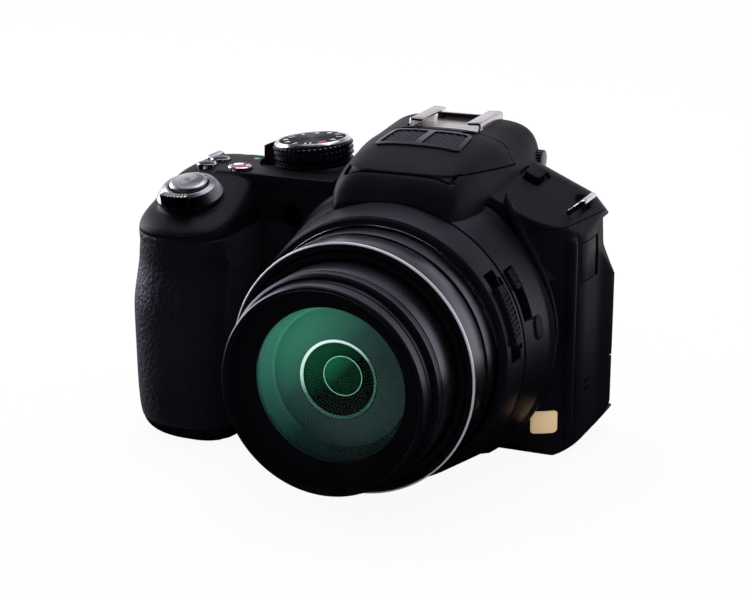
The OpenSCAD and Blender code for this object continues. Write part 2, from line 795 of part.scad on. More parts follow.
// Viewfinder
module eyecup() {
    outer = soft_box(-eye_half - 1, eye_half + 1, eye_z0 - 0.5, eye_z1 + 0.5, 5);
    inner = soft_box(-eye_half + 5, eye_half - 5, eye_z0 + 3.2, eye_z1 - 3.2, 3);
    color(rubber) difference() {
        front_extrude(outer, eye_y1, eye_y1 + cup_l);
        front_extrude(inner, eye_y1 - 1, eye_y1 + cup_l + 1);
        translate([0, eye_y1 + cup_l + 60, (eye_z0 + eye_z1) / 2]) rotate([90, 0, 90])
            cylinder(r = 60.6, h = 2 * eye_half - 5, center = true, $fn = 180);
    }
}

module eyepiece_glass() {
    color([0.2, 0.25, 0.3])
        front_extrude(soft_box(-eye_half + 5.1, eye_half - 5.1, eye_z0 + 1.2, eye_z1 - 3.2, 1.4),
        eye_y1 - 3, eye_y1);
}

// Steel accessory shoe: floor, two rails and their lips
module accessory_shoe() {
    slot_half = 9.35;
    lip_half = 6.35;
    y1 = shoe_y + shoe_l;
    color(steel) difference() {
        block([-shoe_w / 2, shoe_y, shoe_floor - 0.8], [shoe_w / 2, y1, shoe_floor + 2.7]);
        block([-slot_half, shoe_y - 1, shoe_floor], [slot_half, y1 - 1.2, shoe_floor + 2.05]);
        block([-lip_half, shoe_y - 1, shoe_floor], [lip_half, y1 + 1, shoe_floor + 5]);
        for (s = [-1, 1]) translate([s * 12.2, shoe_y - 1, shoe_floor + 3.4]) rotate([-90, 0, 0])
            cylinder(r = 2, h = shoe_l + 2, $fn = 40);
    }
}

module shoe_cut() {
    block([-shoe_w / 2 - 0.1, shoe_y - 1.4, shoe_floor - 0.8],
        [shoe_w / 2 + 0.1, shoe_y + shoe_l + 0.1, hump_z + 5]);
}

// Strap lugs: a wire staple with both legs in the shoulder
lug_wire = 0.8;
function lug_spot(s) = s > 0 ? [side_x - 5.2, 0.6, shoulder_seam + 3.1] : [grip_x0 + 6, 7, deck_z - 4.5];
function lug_span(s) = s > 0 ? 10 : 8;
function lug_tilt(s) = s > 0 ? 52 : -45;

module lug(s, r, up) {
    half = lug_span(s) / 2;
    translate(lug_spot(s)) rotate([0, lug_tilt(s), 0]) {
        for (e = [-half, half]) translate([0, e, -4]) cylinder(r = r, h = 4 + up, $fn = 24);
        if (r == lug_wire) {
            for (e = [-half, half]) translate([0, e, up]) sphere(r = r, $fn = 24);
            translate([0, 0, up]) rotate([90, 0, 0]) cylinder(r = r, h = 2 * half, center = true, $fn = 24);
        }
    }
}

module lug_holes(s) {
    lug(s, lug_wire + 0.08, 6);
}

// Hollow of the shoulder round the right lug
module lug_recess() {
    translate(lug_spot(1)) rotate([0, lug_tilt(1), 0]) pocket([-2.4, -6.6, -1.4], [2.4, 6.6, 8], 2.2);
}

module strap_lug_right() {
    color(steel) lug(1, lug_wire, 3.6);
}

module strap_lug_left() {
    color(steel) lug(-1, lug_wire, 5);
}

// Lamps
lamp_x = -36;
lamp_z = 61.4;
status_x = -55;
status_y = 0;

module focus_lamp_body(d) {
    translate([lamp_x, 0, lamp_z]) rotate([90, 0, 0]) translate([0, 0, body_front - 2.6])
        cylinder(r = 3 + d, h = 2.7);
}

module focus_lamp() {
    color([0.25, 0.08, 0.06]) difference() {
        focus_lamp_body(0);
        translate([lamp_x, -body_front - 8.4, lamp_z]) sphere(r = 8.6);
    }
}

module status_lamp() {
    color([0.2, 0.8, 0.4]) translate([status_x, status_y, deck_z - 3])
        cylinder(r = 0.85, h = 3.1, $fn = 32);
}

// Release button and the lever round it
module shutter_button() {
    top = 5.4;
    color(steel) at_shutter() rotate_extrude()
        polygon([[0, -6], [stem_r, -6], [stem_r, 1.4], [shutter_r - gap, 1.4],
        [shutter_r - gap, top - 0.6], [shutter_r - 0.8, top - 0.1], [2.4, top - 0.5], [0, top - 0.6]]);
}

module zoom_lever() {
    color([0.3, 0.3, 0.32]) at_shutter() {
        difference() {
            union() {
                rotate_extrude() polygon([[shutter_r, gap], [lever_r, gap], [lever_r, 1.2],
                    [lever_r - 2, 3.8],
                    [shutter_r + 0.6, 4.4], [shutter_r, 4.4]]);
                intersection() {
                    translate([-3.9, -lever_r - 1.2, 1]) cube([7.8, 5, 4.6]);
                    cylinder(r = lever_r + 1, h = 10);
                }
            }
            translate([0, 0, -1]) cylinder(r = shutter_r, h = 10);
            for (x = [-3.4 : 0.85 : 3.4]) translate([x, -lever_r - 0.7, 0])
                cylinder(r = 0.28, h = 8, $fn = 16);
        }
    }
}

// Mode dial with pyramid knurling in rows
module mode_dial() {
    low = 1.2;
    top = 7;
    teeth = 44;
    color([0.12, 0.12, 0.13]) at_dial() difference() {
        rotate_extrude($fn = 96)
            polygon([[0, -4], [dial_stem, -4], [dial_stem, low], [dial_r - 1.2, low], [dial_r, low + 0.5],
            [dial_r, top - 1.1],
            [dial_r - 1, top], [0, top]]);
        for (i = [0:teeth - 1]) rotate([0, 0, i * 360 / teeth]) translate([dial_r + 0.35, 0, low + 0.3])
            rotate([0, 0, 45]) translate([-0.5, -0.5, 0]) cube([1, 1, top - low - 1.6]);
    }
}

module power_lever() {
    color(black) at_dial() difference() {
        union() {
            rotate_extrude() translate([dial_stem + 0.2, 0.3]) square([dial_r - dial_stem - 0.4, 0.6]);
            rotate([0, 0, 172]) rotate_extrude(angle = 16) translate([dial_r - 0.6, 0.3])
                square([tab_r - dial_r + 0.6, 0.6]);
            rotate([0, 0, 172]) rotate_extrude(angle = 16) translate([dial_r + gap, 0.3])
                polygon([[0, 0], [tab_r - dial_r - gap, 0], [tab_r - dial_r - 0.8, 5], [0.4, 5.8],
                    [0, 5.6]]);
        }
        translate([0, 0, -1]) cylinder(r = dial_stem + gap, h = 3);
    }
}

// Round deck button on its stem, in a bright collar
module deck_button(spot, tone) {
    r = spot[2];
    color(tone) translate([spot.x, spot.y, deck_z]) rotate_extrude()
        polygon([[0, press + 0.1 - button_sink], [r, press + 0.1 - button_sink],
        [r, 0.7], [r - 0.4, 1.1], [0, 0.9]]);
}

module movie_button() {
    deck_button(button_spots[0], [0.7, 0.15, 0.15]);
}

module function_button() {
    deck_button(button_spots[1], steel);
}

module drive_button() {
    deck_button(button_spots[2], steel);
}

// Flash lid: the front top of the hump, rounded about its pivot at the rear
module lid_rear_round(r) {
    translate([0, lid_pivot_y, lid_pivot_z]) rotate([90, 0, 90]) cylinder(r = r, h = big, center = true);
}

module lid_pins(r, l) {
    for (s = [-1, 1]) translate([s * ear_x, lid_pivot_y, lid_pivot_z]) rotate([90, 0, 90])
        cylinder(r = r, h = l, center = true, $fn = 32);
}

module flash_lid() {
    color(black) {
        difference() {
            intersection() {
                hump();
                union() {
                    block([-big, -big, lid_z + gap], [big, lid_pivot_y - lid_round / 2, big]);
                    block([-big, -big, lid_z + gap], [big, lid_pivot_y - gap / 2, lid_pivot_z]);
                    lid_rear_round(lid_round);
                }
            }
            mic_pad(0.1);
            ear_slots();
        }
        lid_pins(lid_pin_r, ear_t + 4);
    }
}

// Ears of the top cover that carry the flash lid's pins
ear_x = 9;
ear_t = 3;

module hinge_ears() {
    r = lid_round - 0.5;
    for (s = [-1, 1]) translate([s * ear_x, lid_pivot_y, 0]) {
        translate([0, 0, lid_pivot_z]) rotate([90, 0, 90]) cylinder(r = r, h = ear_t, center = true);
        block([-ear_t / 2, -r, lid_z - 3], [ear_t / 2, r, lid_pivot_z]);
    }
}

// Slots of the lid round the ears, open to the rear
module ear_slots() {
    for (s = [-1, 1]) translate([s * ear_x, lid_pivot_y, 0])
        block([-ear_t / 2 - gap, 0.5 - lid_round - gap, lid_z - 3], [ear_t / 2 + gap, 6, hump_z + 3]);
}

module flash_cut() {
    difference() {
        union() {
            block([-big, -big, lid_z], [big, lid_pivot_y + gap / 2, big]);
            lid_rear_round(lid_round + gap);
        }
        hinge_ears();
    }
    lid_pins(lid_pin_r + pin_gap, ear_t + 6);
    pocket([-15.5, hump_y0 + 4.6, lid_z - 2.5], [15.5, lid_pivot_y - 9, lid_z + 1], 1.5);
}

function mic_outline() = soft([[-12.5, -16, 2], [12.5, -16, 2], [11.5, 6, 2], [-11.5, 6, 2]]);

module mic_pad(d) {
    intersection() {
        linear_extrude(big / 4) offset(delta = d) polygon(mic_outline());
        translate([0, 0, 0.35]) hump();
        block([-big, -big, hump_z - 4], [big, lid_pivot_y - lid_round - 0.4, big]);
    }
}

// Twin microphone grille in one frame
module mic_grille() {
    color([0.08, 0.08, 0.09]) difference() {
        mic_pad(0);
        for (s = [-1, 1], i = [0:5], j = [0:3])
            translate([s * (1.8 + i * 1.6), -13.4 + j * 2.2, hump_z - 2])
                block([-0.5, -0.7, 0], [0.5, 0.7, 8]);
    }
}

module flash_window() {
    color([0.75, 0.78, 0.8]) difference() {
        block([-13.5, hump_y0 + 6.2, lid_z - 2], [13.5, hump_y0 + 12, lid_z + gap]);
        for (i = [0:12]) translate([-12 + i * 2, hump_y0 + 6, lid_z - 3])
            cylinder(r = 0.5, h = 2.6, $fn = 16);
    }
}

// Flash release on the right flank
release_x = hump_half + 1.2;
release_y = 3.6;

module flash_button_body(d, up) {
    translate([release_x, release_y, deck_z + 2]) rotate([10.8, 24.2, 0])
        linear_extrude(4 + up + 2 * d, center = true)
        offset(delta = d) polygon(soft_box(-2.2, 2.2, -3.2, 3.2, 1.2));
}

module flash_button() {
    color(black) translate([0, 0, 0.4]) flash_button_body(0, -1.6);
}

// Controls on the lens collar
module side_lever() {
    r0 = lever_foot;
    r1 = lever_face;
    color([0.1, 0.1, 0.11]) difference() {
        lens_arc(r0, r1, lever_f - lever_half_w, lever_f + lever_half_w, lever_mid - lever_half,
            lever_mid + lever_half);
        for (a = [lever_mid - 8 : 2 : lever_mid + 8]) on_lens() rotate([0, 0, a])
            translate([r1, 0, lever_f - 5]) cylinder(r = 0.4, h = 10, $fn = 16);
    }
}

module focus_switch() {
    r0 = switch_foot;
    r1 = switch_face;
    color([0.1, 0.1, 0.11]) difference() {
        lens_arc(r0, r1, switch_f - 2, switch_f + 2, switch_mid - switch_half, switch_mid + switch_half);
        for (a = [-1.5, 1.5]) on_lens() rotate([0, 0, switch_mid + a]) translate([r1, 0, switch_f - 5])
            cylinder(r = 0.35, h = 10, $fn = 16);
    }
}

module focus_button_shape(d, r0, r1) {
    on_lens() rotate([0, 0, focus_mid]) translate([r0, 0, focus_f]) rotate([0, 90, 0])
        linear_extrude(r1 - r0) offset(delta = d) polygon(soft_box(-2.1, 2.1, -3.1, 3.1, 2, 8));
}

module focus_button_cut() {
    focus_button_shape(gap, focus_floor, 60);
}

module focus_button() {
    color([0.1, 0.1, 0.11]) focus_button_shape(0, focus_floor + tight_press + 0.2, focus_face);
}

// Doors follow the outside of the body
mic_door_z = [shoulder_seam - 15.9, shoulder_seam - 5.1];
mic_door_y = [part_y + 1.3, 2.6];
mic_pivot = [side_x - 2.2, 1.4];
door_round = 1.2;

module mic_door_space(d) {
    difference() {
        block([30, mic_door_y[0] - d, mic_door_z[0] - d], [big / 4, mic_pivot.y, mic_door_z[1] + d]);
        linear_extrude(80) polygon(plan_outline(1.5 + d));
    }
    translate([mic_pivot.x, mic_pivot.y, mic_door_z[0] - d])
        cylinder(r = door_round + d, h = mic_door_z[1] - mic_door_z[0] + 2 * d, $fn = 32);
    if (d > 0) block([mic_pivot.x - 0.8, mic_pivot.y - 1, mic_door_z[0] - d],
        [big / 4, mic_pivot.y + 2 + d, mic_door_z[1] + d]);
}

module mic_door() {
    color(black) intersection() {
        core();
        mic_door_space(0);
    }
}

term_z = [18, 44];
term_y = [4.6, 11];
term_pivot = [grip_x0 + 1.9, term_y[0] + door_round];

module terminal_door_space(d) {
    block([-big / 4, term_pivot.y, term_z[0] - d], [grip_x0 + 2.8 + d, term_y[1] + d, term_z[1] + d]);
    translate([term_pivot.x, term_pivot.y, term_z[0] - d])
        cylinder(r = door_round + d, h = term_z[1] - term_z[0] + 2 * d, $fn = 32);
    if (d > 0) block([-big / 4, term_pivot.y - 2 - d, term_z[0] - d],
        [term_pivot.x + 0.8, term_pivot.y + 1, term_z[1] + d]);
}

module terminal_door() {
    color(rubber) intersection() {
        grip_solid();
        terminal_door_space(0);
    }
}

door_x0 = bay_x0 - 1;
door_axis_x = door_x0 + door_t / 2;
door_axis_z = 0.05 + door_t / 2;

module battery_door_space(d, below) {
    translate([0, 0, -below]) linear_extrude(door_t + d + below)
        polygon(soft_box(door_x0 - d, card_x1 + 0.8 + d, bay_y0 - 0.6 - d, card_y1 + 0.4 + d, 3 + d));
}

// Underside that the battery door may fill
module door_outline() {
    polygon([for (p = grip_ring(0, 0.2)) [p.x, p.y]]);
    translate([-60, 7 - body_front]) square([60 + card_x1 + 2, card_y1 + body_front - 7]);
}

// Door with a round hinge edge on its outer side
module battery_door() {
    color(black) difference() {
        union() {
            intersection() {
                translate([0, 0, 0.05]) battery_door_space(-0.05, 0);
                linear_extrude(door_t + 1) door_outline();
                union() {
                    block([door_axis_x, bay_y0 + 2.6, -1], [big, big, big]);
                    block([door_axis_x + 2.4, -big, -1], [big, big, big]);
                }
            }
            translate([door_axis_x, bay_y0 + 8, door_axis_z]) rotate([-90, 0, 0])
                cylinder(r = door_t / 2 - 0.02, h = card_y1 - bay_y0 - 12);
        }
        latch_slot();
    }
}

module latch_slot() {
    block([part_x - 9, -14, -1], [part_x - 3, -1, 1.1 + gap]);
}

module battery_latch() {
    color([0.12, 0.12, 0.13]) difference() {
        block([part_x - 8.7, -10, 0.1], [part_x - 3.3, -1.3, 1.1]);
        for (y = [-8 : 1.2 : -3]) translate([part_x - 6, y, 0]) rotate([0, 90, 0])
            cylinder(r = 0.3, h = 4, center = true, $fn = 16);
    }
}

// Swing-out screen
module screen_housing() {
    x0 = screen_x0;
    z1 = screen_z0 + screen_h;
    outline = soft_box(x0, screen_x1, screen_z0, z1, 3);
    color(black) difference() {
        union() {
            front_extrude(outline, screen_y0, screen_y0 + screen_t);
            translate([hinge_x, hinge_y, hinge_mid])
                cylinder(r = knuckle_r, h = 2 * (hinge_half - knuckle_h - gap), center = true);
            block([screen_x1 - 1, hinge_y - 1.6, hinge_mid - hinge_half + knuckle_h + gap],
                [hinge_x, hinge_y + 1.6, hinge_mid + hinge_half - knuckle_h - gap]);
            translate([hinge_x, hinge_y, hinge_mid]) cylinder(r = pin_r, h = 2 * hinge_half, center = true);
        }
        front_extrude(soft_box(x0 + 2.4, screen_x1 - 2.4, screen_z0 + 3.4, z1 - 3.4, 1.5),
            screen_y0 + screen_t - 1, screen_y0 + screen_t + 1);
    }
}

module screen_glass() {
    color([0.03, 0.03, 0.04]) front_extrude(soft_box(screen_x0 + 2.4, screen_x1 - 2.4, screen_z0 + 3.4,
        screen_z0 + screen_h - 3.4, 1.5), screen_y0 + screen_t - 1, screen_y0 + screen_t - 0.1);
}

// Dioptre wheel on the right flank of the hump
dioptre_x = hump_half - 4;
dioptre_y = 20;
dioptre_z = shoulder_seam + 10;

module dioptre_cut() {
    translate([dioptre_x - 0.4, dioptre_y, dioptre_z]) rotate([0, 90, 0]) cylinder(r = 3.1, h = 20);
    translate([dioptre_x - 3.8, dioptre_y, dioptre_z]) rotate([0, 90, 0])
        cylinder(r = 1.2 + pin_gap, h = 20, $fn = 32);
}

module dioptre_dial() {
    color(black) translate([dioptre_x - 0.1, dioptre_y, dioptre_z]) rotate([0, 90, 0]) difference() {
        union() {
            cylinder(r = 2.8, h = 2.4);
            translate([0, 0, -3.4]) cylinder(r = 1.2, h = 4);
        }
        for (a = [0 : 18 : 342]) rotate([0, 0, a]) translate([3, 0, 0.4])
            cylinder(r = 0.4, h = 4, $fn = 16);
    }
}

// Rear controls stand on the rear face behind the grip
pad_x = -49.5;
pad_z = 27;
pad_r = 9.5;
set_r = 4;
wheel_x = -52;
wheel_y = grip_y1 - 4;
wheel_z = 61.5;
wheel_r = 6.4;
rear_spots = [[-39, 45, 2.6], [-38.8, 55.6, 2.8], [-62, 12.5, 2.4], [-38.6, 12.5, 2.4], [-38.8, 62.4, 2.2]];

module rear_button(spot, r, h) {
    translate([spot.x, grip_y1, spot.y]) rotate([-90, 0, 0]) rotate_extrude($fn = 48)
        polygon([[0, press + 0.3 - 2.6], [r, press + 0.3 - 2.6], [r, h - 0.4], [r - 0.4, h], [0, h]]);
}

module rear_control_cuts() {
    for (s = rear_spots) translate([s.x, grip_y1 - 2.6, s.y]) rotate([-90, 0, 0])
        cylinder(r = s[2] + gap, h = 10, $fn = 48);
    translate([pad_x, grip_y1 - 2.6, pad_z]) rotate([-90, 0, 0]) cylinder(r = pad_r + gap, h = 10);
    translate([wheel_x, wheel_y, wheel_z - 2.3]) cylinder(r = wheel_r + gap, h = 4.6);
    translate([wheel_x, wheel_y, wheel_z - 5]) cylinder(r = 1.5 + pin_gap, h = 8, $fn = 32);
}

module cursor_pad() {
    color(black) translate([pad_x, grip_y1, pad_z]) rotate([-90, 0, 0]) difference() {
        rotate_extrude() polygon([[set_r + gap, press + 0.3 - 2.6], [pad_r, press + 0.3 - 2.6],
            [pad_r, 0.6], [pad_r - 0.6, 1.2],
            [set_r + 2, 0.8], [set_r + gap, 0.8]]);
        for (a = [0 : 90 : 270]) rotate([0, 0, a]) translate([pad_r - 2, 0, 1])
            cylinder(r = 0.6, h = 1, $fn = 16);
    }
}

module set_button() {
    color(black) rear_button([pad_x, pad_z], set_r, 1.4);
}

module playback_button() {
    color(black) rear_button(rear_spots[0], rear_spots[0][2], 0.9);
}

module lock_button() {
    color(black) rear_button(rear_spots[1], rear_spots[1][2], 0.9);
}

module display_button() {
    color(black) rear_button(rear_spots[2], rear_spots[2][2], 0.9);
}

module menu_button() {
    color(black) rear_button(rear_spots[3], rear_spots[3][2], 0.9);
}

// Command wheel lying flat, with its rim out of the rear face
module rear_dial() {
    color([0.12, 0.12, 0.13]) translate([wheel_x, wheel_y, wheel_z]) difference() {
        union() {
            cylinder(r = wheel_r, h = 4, center = true);
            translate([0, 0, -4.6]) cylinder(r = 1.5, h = 6, $fn = 32);
        }
        for (i = [0:29]) rotate([0, 0, i * 12]) translate([wheel_r + 0.2, 0, 0])
            cylinder(r = 0.5, h = 6, center = true, $fn = 16);
    }
}

module viewfinder_button() {
    color(black) rear_button(rear_spots[4], rear_spots[4][2], 0.6);
}

front_cover();
rear_cover();
top_cover();
grip_rubber();
thumb_rubber();
badge_plate();
chassis();
tripod_bush();
base_screws();
lens_collar();
lens_barrel();
front_trim_ring();
rear_trim_ring();
rear_cell();
image_sensor();
main_board();
battery();
memory_card();
eyecup();
eyepiece_glass();
accessory_shoe();
strap_lug_right();
strap_lug_left();
focus_lamp();
status_lamp();
zoom_tube_rear();
zoom_tube_front();
filter_ring();
front_glass();
inner_glass();
shutter_button();
zoom_lever();
mode_dial();
power_lever();
movie_button();
function_button();
drive_button();
flash_lid();
mic_grille();
flash_window();
flash_button();
side_lever();
focus_switch();
focus_button();
mic_door();
terminal_door();
battery_door();
battery_latch();
screen_housing();
screen_glass();
dioptre_dial();
viewfinder_button();
lock_button();
playback_button();
rear_dial();
cursor_pad();
set_button();
display_button();
menu_button();
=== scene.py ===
import json
import math

import bmesh
import bpy
import numpy as np
from mathutils import Matrix, Vector


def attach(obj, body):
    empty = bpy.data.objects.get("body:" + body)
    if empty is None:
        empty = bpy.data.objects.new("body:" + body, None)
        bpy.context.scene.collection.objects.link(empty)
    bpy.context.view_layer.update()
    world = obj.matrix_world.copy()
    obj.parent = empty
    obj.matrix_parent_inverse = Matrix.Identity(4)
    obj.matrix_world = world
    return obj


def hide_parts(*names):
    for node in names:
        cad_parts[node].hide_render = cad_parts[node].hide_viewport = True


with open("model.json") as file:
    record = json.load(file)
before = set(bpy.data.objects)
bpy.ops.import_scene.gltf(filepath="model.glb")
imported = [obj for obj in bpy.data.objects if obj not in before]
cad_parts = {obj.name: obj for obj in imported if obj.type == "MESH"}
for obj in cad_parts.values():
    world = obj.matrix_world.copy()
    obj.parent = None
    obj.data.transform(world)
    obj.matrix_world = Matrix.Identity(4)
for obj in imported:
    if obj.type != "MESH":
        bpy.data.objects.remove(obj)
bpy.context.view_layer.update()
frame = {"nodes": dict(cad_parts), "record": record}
NODES = frame["nodes"]
scene = bpy.context.scene
scene.view_settings.view_transform = "Standard"

# Places and sizes are in millimetres: the lens points along -Y, the grip is at -X and +Z is up
MM = 0.001
FAR = 300
AXIS_Z = 34.6
DECK_Z = 72
HUMP_FOOT = 62
LID_AXIS = (0.6, 82.6)
HINGE = (44, 14.8)
GAP = 0.3
SEAM = 0.11

ROOT = "camera_body"
ZOOM = "zoom_stage_front"
FLASH = "flash_head"


# Shader helpers

def new_mat(name):
    m = bpy.data.materials.new(name)
    m.use_nodes = True
    return m, m.node_tree, m.node_tree.nodes["Principled BSDF"]


def feed(nt, socket, value):
    """Links another node's socket, or sets a constant."""
    if isinstance(value, bpy.types.NodeSocket):
        nt.links.new(value, socket)
    else:
        socket.default_value = value


def settings(nt, shader, values):
    for key, value in values.items():
        feed(nt, shader.inputs[key], value)


def node(nt, kind, *places, **values):
    """New node: places feed its inputs in order, and values its named inputs or its options."""
    n = nt.nodes.new(kind)
    for key, value in values.items():
        if key in n.inputs:
            feed(nt, n.inputs[key], value)
        else:
            setattr(n, key, value)
    for socket, value in zip(n.inputs, places):
        feed(nt, socket, value)
    return n


def calc(nt, operation, *places, clamp=False):
    return node(nt, "ShaderNodeMath", *places, operation=operation, use_clamp=clamp).outputs[0]


def vector(nt, operation, *places, out="Vector"):
    return node(nt, "ShaderNodeVectorMath", *places, operation=operation).outputs[out]


def fade(nt, value, start, end, low=0.0, high=1.0, kind="SMOOTHSTEP"):
    n = node(nt, "ShaderNodeMapRange", value, start, end, low, high, interpolation_type=kind)
    return n.outputs["Result"]


def coords(nt):
    return nt.nodes.new("ShaderNodeTexCoord").outputs["Object"]


def ramp(nt, fac, stops):
    r = nt.nodes.new("ShaderNodeValToRGB")
    e = r.color_ramp.elements
    while len(e) < len(stops):
        e.new(0.5)
    for el, (place, color) in zip(e, stops):
        el.position = place
        el.color = (*color, 1)
    nt.links.new(fac, r.inputs["Fac"])
    return r.outputs["Color"]


def grey(v):
    return (v, v, v)


def shade(color, k):
    return tuple(x * k for x in color)


def bump(nt, shader, height, strength, distance, invert=False):
    b = node(nt, "ShaderNodeBump", Strength=strength, Distance=distance, Height=height, invert=invert)
    nt.links.new(b.outputs["Normal"], shader.inputs["Normal"])


# Materials

VIOLET = (0.78, 0.73, 1.0, 1.0)


def plastic(name, color, rough, grain=2600.0, depth=0.00003, spec=0.5, spread=0.25, coat=0.0):
    """Moulded plastic with a fine spark-eroded grain and slight wear in gloss."""
    m, nt, b = new_mat(name)
    v = coords(nt)
    grit = node(nt, "ShaderNodeTexNoise", Vector=v, Scale=grain, Detail=3.0, Roughness=0.6)
    wear = node(nt, "ShaderNodeTexNoise", Vector=v, Scale=60.0, Detail=4.0, Roughness=0.55).outputs["Fac"]
    tones = [(0.3, shade(color, 1 - spread)), (0.7, shade(color, 1 + spread))]
    gloss = [(0.25, grey(rough * 0.88)), (0.75, grey(min(1, rough * 1.12)))]
    settings(nt, b, {"Base Color": ramp(nt, wear, tones), "Roughness": ramp(nt, wear, gloss),
                     "Specular IOR Level": spec, "Specular Tint": VIOLET,
                     "Coat Weight": coat, "Coat Roughness": rough})
    bump(nt, b, grit.outputs["Fac"], 0.35, depth)
    return m


def leatherette(name, color, rough):
    """Pebbled rubber: soft cells with a fine pore noise."""
    m, nt, b = new_mat(name)
    v = coords(nt)
    warp = node(nt, "ShaderNodeTexNoise", Vector=v, Scale=500.0, Detail=2.0)
    bent = vector(nt, "MULTIPLY_ADD", warp.outputs["Color"], (0.0007, 0.0007, 0.0007), v)
    cell = node(nt, "ShaderNodeTexVoronoi", feature="SMOOTH_F1", Vector=bent, Scale=900.0,
                Smoothness=0.6).outputs["Distance"]
    pores = node(nt, "ShaderNodeTexNoise", Vector=v, Scale=2400.0, Detail=2.0)
    patches = node(nt, "ShaderNodeTexNoise", Vector=v, Scale=45.0, Detail=3.0)
    tones = [(0.3, shade(color, 0.75)), (0.7, shade(color, 1.25))]
    gloss = [(0.1, grey(rough * 0.85)), (0.6, grey(min(1, rough * 1.2)))]
    settings(nt, b, {"Base Color": ramp(nt, patches.outputs["Fac"], tones),
                     "Roughness": ramp(nt, cell, gloss), "Specular IOR Level": 0.9, "Specular Tint": VIOLET,
                     "Sheen Weight": 0.06, "Sheen Roughness": 0.4})
    bump(nt, b, calc(nt, "MULTIPLY_ADD", pores.outputs["Fac"], 0.25, cell), 0.8, 0.00032, invert=True)
    return m


def metal(name, color, rough, spin=None, aniso=0.0, streak=0.25, metallic=1.0, spec=0.5):
    """Turned or brushed metal: streaks in rings about an axis, or plain fine scratches."""
    m, nt, b = new_mat(name)
    v = coords(nt)
    if spin is not None:
        centre, axis = spin
        arm = vector(nt, "SUBTRACT", v, Vector(centre) * MM)
        across = vector(nt, "CROSS_PRODUCT", arm, Vector(axis).normalized())
        reach = vector(nt, "LENGTH", across, out="Value")
        lines = node(nt, "ShaderNodeTexNoise", noise_dimensions="1D", W=reach, Scale=9000.0, Detail=3.0)
    else:
        drawn = node(nt, "ShaderNodeMapping", Vector=v, Scale=(0.05, 1.0, 1.0))
        lines = node(nt, "ShaderNodeTexNoise", Vector=drawn.outputs["Vector"], Scale=1500.0, Detail=4.0)
    lines = lines.outputs["Fac"]
    tones = [(0.3, shade(color, 1 - streak)), (0.65, color)]
    gloss = [(0.3, grey(rough * 1.25)), (0.7, grey(rough * 0.8))]
    settings(nt, b, {"Base Color": ramp(nt, lines, tones), "Roughness": ramp(nt, lines, gloss),
                     "Metallic": metallic, "Specular IOR Level": spec, "Anisotropic": aniso})
    if aniso:
        tangent = node(nt, "ShaderNodeTangent", direction_type="RADIAL", axis="Z")
        nt.links.new(tangent.outputs["Tangent"], b.inputs["Tangent"])
    bump(nt, b, lines, 0.15, 0.00002)
    return m


def glass(name, color, rough, ior=1.45):
    m, nt, b = new_mat(name)
    haze = node(nt, "ShaderNodeTexNoise", Vector=coords(nt), Scale=40.0, Detail=2.0)
    tones = [(0.35, color), (0.65, tuple(min(1, x * 1.06) for x in color))]
    settings(nt, b, {"Base Color": ramp(nt, haze.outputs["Fac"], tones), "Roughness": rough,
                     "Transmission Weight": 1.0, "IOR": ior})
    return m


def painted_optic(name, stops, rough, reach, metallic=0.0, lean=(-0.7, 0.7)):
    """Lens optics with a painted reflection: a tone that turns from the lower right to the upper left over
    the reach, standing in for the lights mirrored in the glass.
    """
    m, nt, b = new_mat(name)
    arm = vector(nt, "SUBTRACT", coords(nt), (0, 0, AXIS_Z * MM))
    along = vector(nt, "DOT_PRODUCT", arm, (lean[0], 0, lean[1]), out="Value")
    span = fade(nt, along, -reach * MM, reach * MM, kind="LINEAR")
    settings(nt, b, {"Base Color": ramp(nt, span, stops), "Roughness": rough, "Metallic": metallic,
                     "Specular IOR Level": 0.03})
    return m


# Centre and axis of the rings that the lathe leaves
SHUTTER_SPIN = ((-60, -31, 67.3), (0, -0.2756, 0.9613))
DIAL_SPIN = ((-38, 2.3, 72), (-0.0872, 0, 0.9962))
SHELL = (0.0036, 0.0032, 0.005)
m_shell = plastic("shell_matte", SHELL, 0.5, spec=0.16)
m_collar = plastic("collar_matte", SHELL, 0.42, spec=0.42)
m_gloss = plastic("satin_black", (0.003, 0.0027, 0.004), 0.26, 4000.0, 0.00001)
m_rubber = leatherette("pebbled_rubber", (0.005, 0.0046, 0.0068), 0.52)
m_soft = plastic("smooth_rubber", (0.012, 0.0118, 0.014), 0.6, 1800.0, 0.00005)
m_barrel = plastic("barrel_satin", (0.003, 0.0026, 0.004), 0.27, 5000.0, 0.000006, spec=1.0, coat=0.5)
m_ring = plastic("ring_satin", (0.0025, 0.002, 0.0035), 0.34, 5000.0, 0.000012, spec=0.75)
m_bead = metal("polished_bead", (0.9, 0.9, 0.92), 0.22, streak=0.05, metallic=0.55)
m_bright = metal("bright_plate", (0.74, 0.73, 0.74), 0.2, streak=0.12)
m_spun = metal("spun_cap", (0.5, 0.49, 0.51), 0.24, SHUTTER_SPIN, 0.7, 0.2)
m_lever = metal("spun_lever", (0.34, 0.335, 0.35), 0.26, SHUTTER_SPIN, 0.6, 0.3)
m_dialtop = metal("spun_dial", (0.008, 0.0076, 0.009), 0.42, DIAL_SPIN, 0.6, 0.35, 0.0, 0.04)
m_shoe = metal("shoe_steel", (0.66, 0.635, 0.61), 0.24, streak=0.15)
m_white = plastic("white_paint", (0.7, 0.7, 0.72), 0.5)
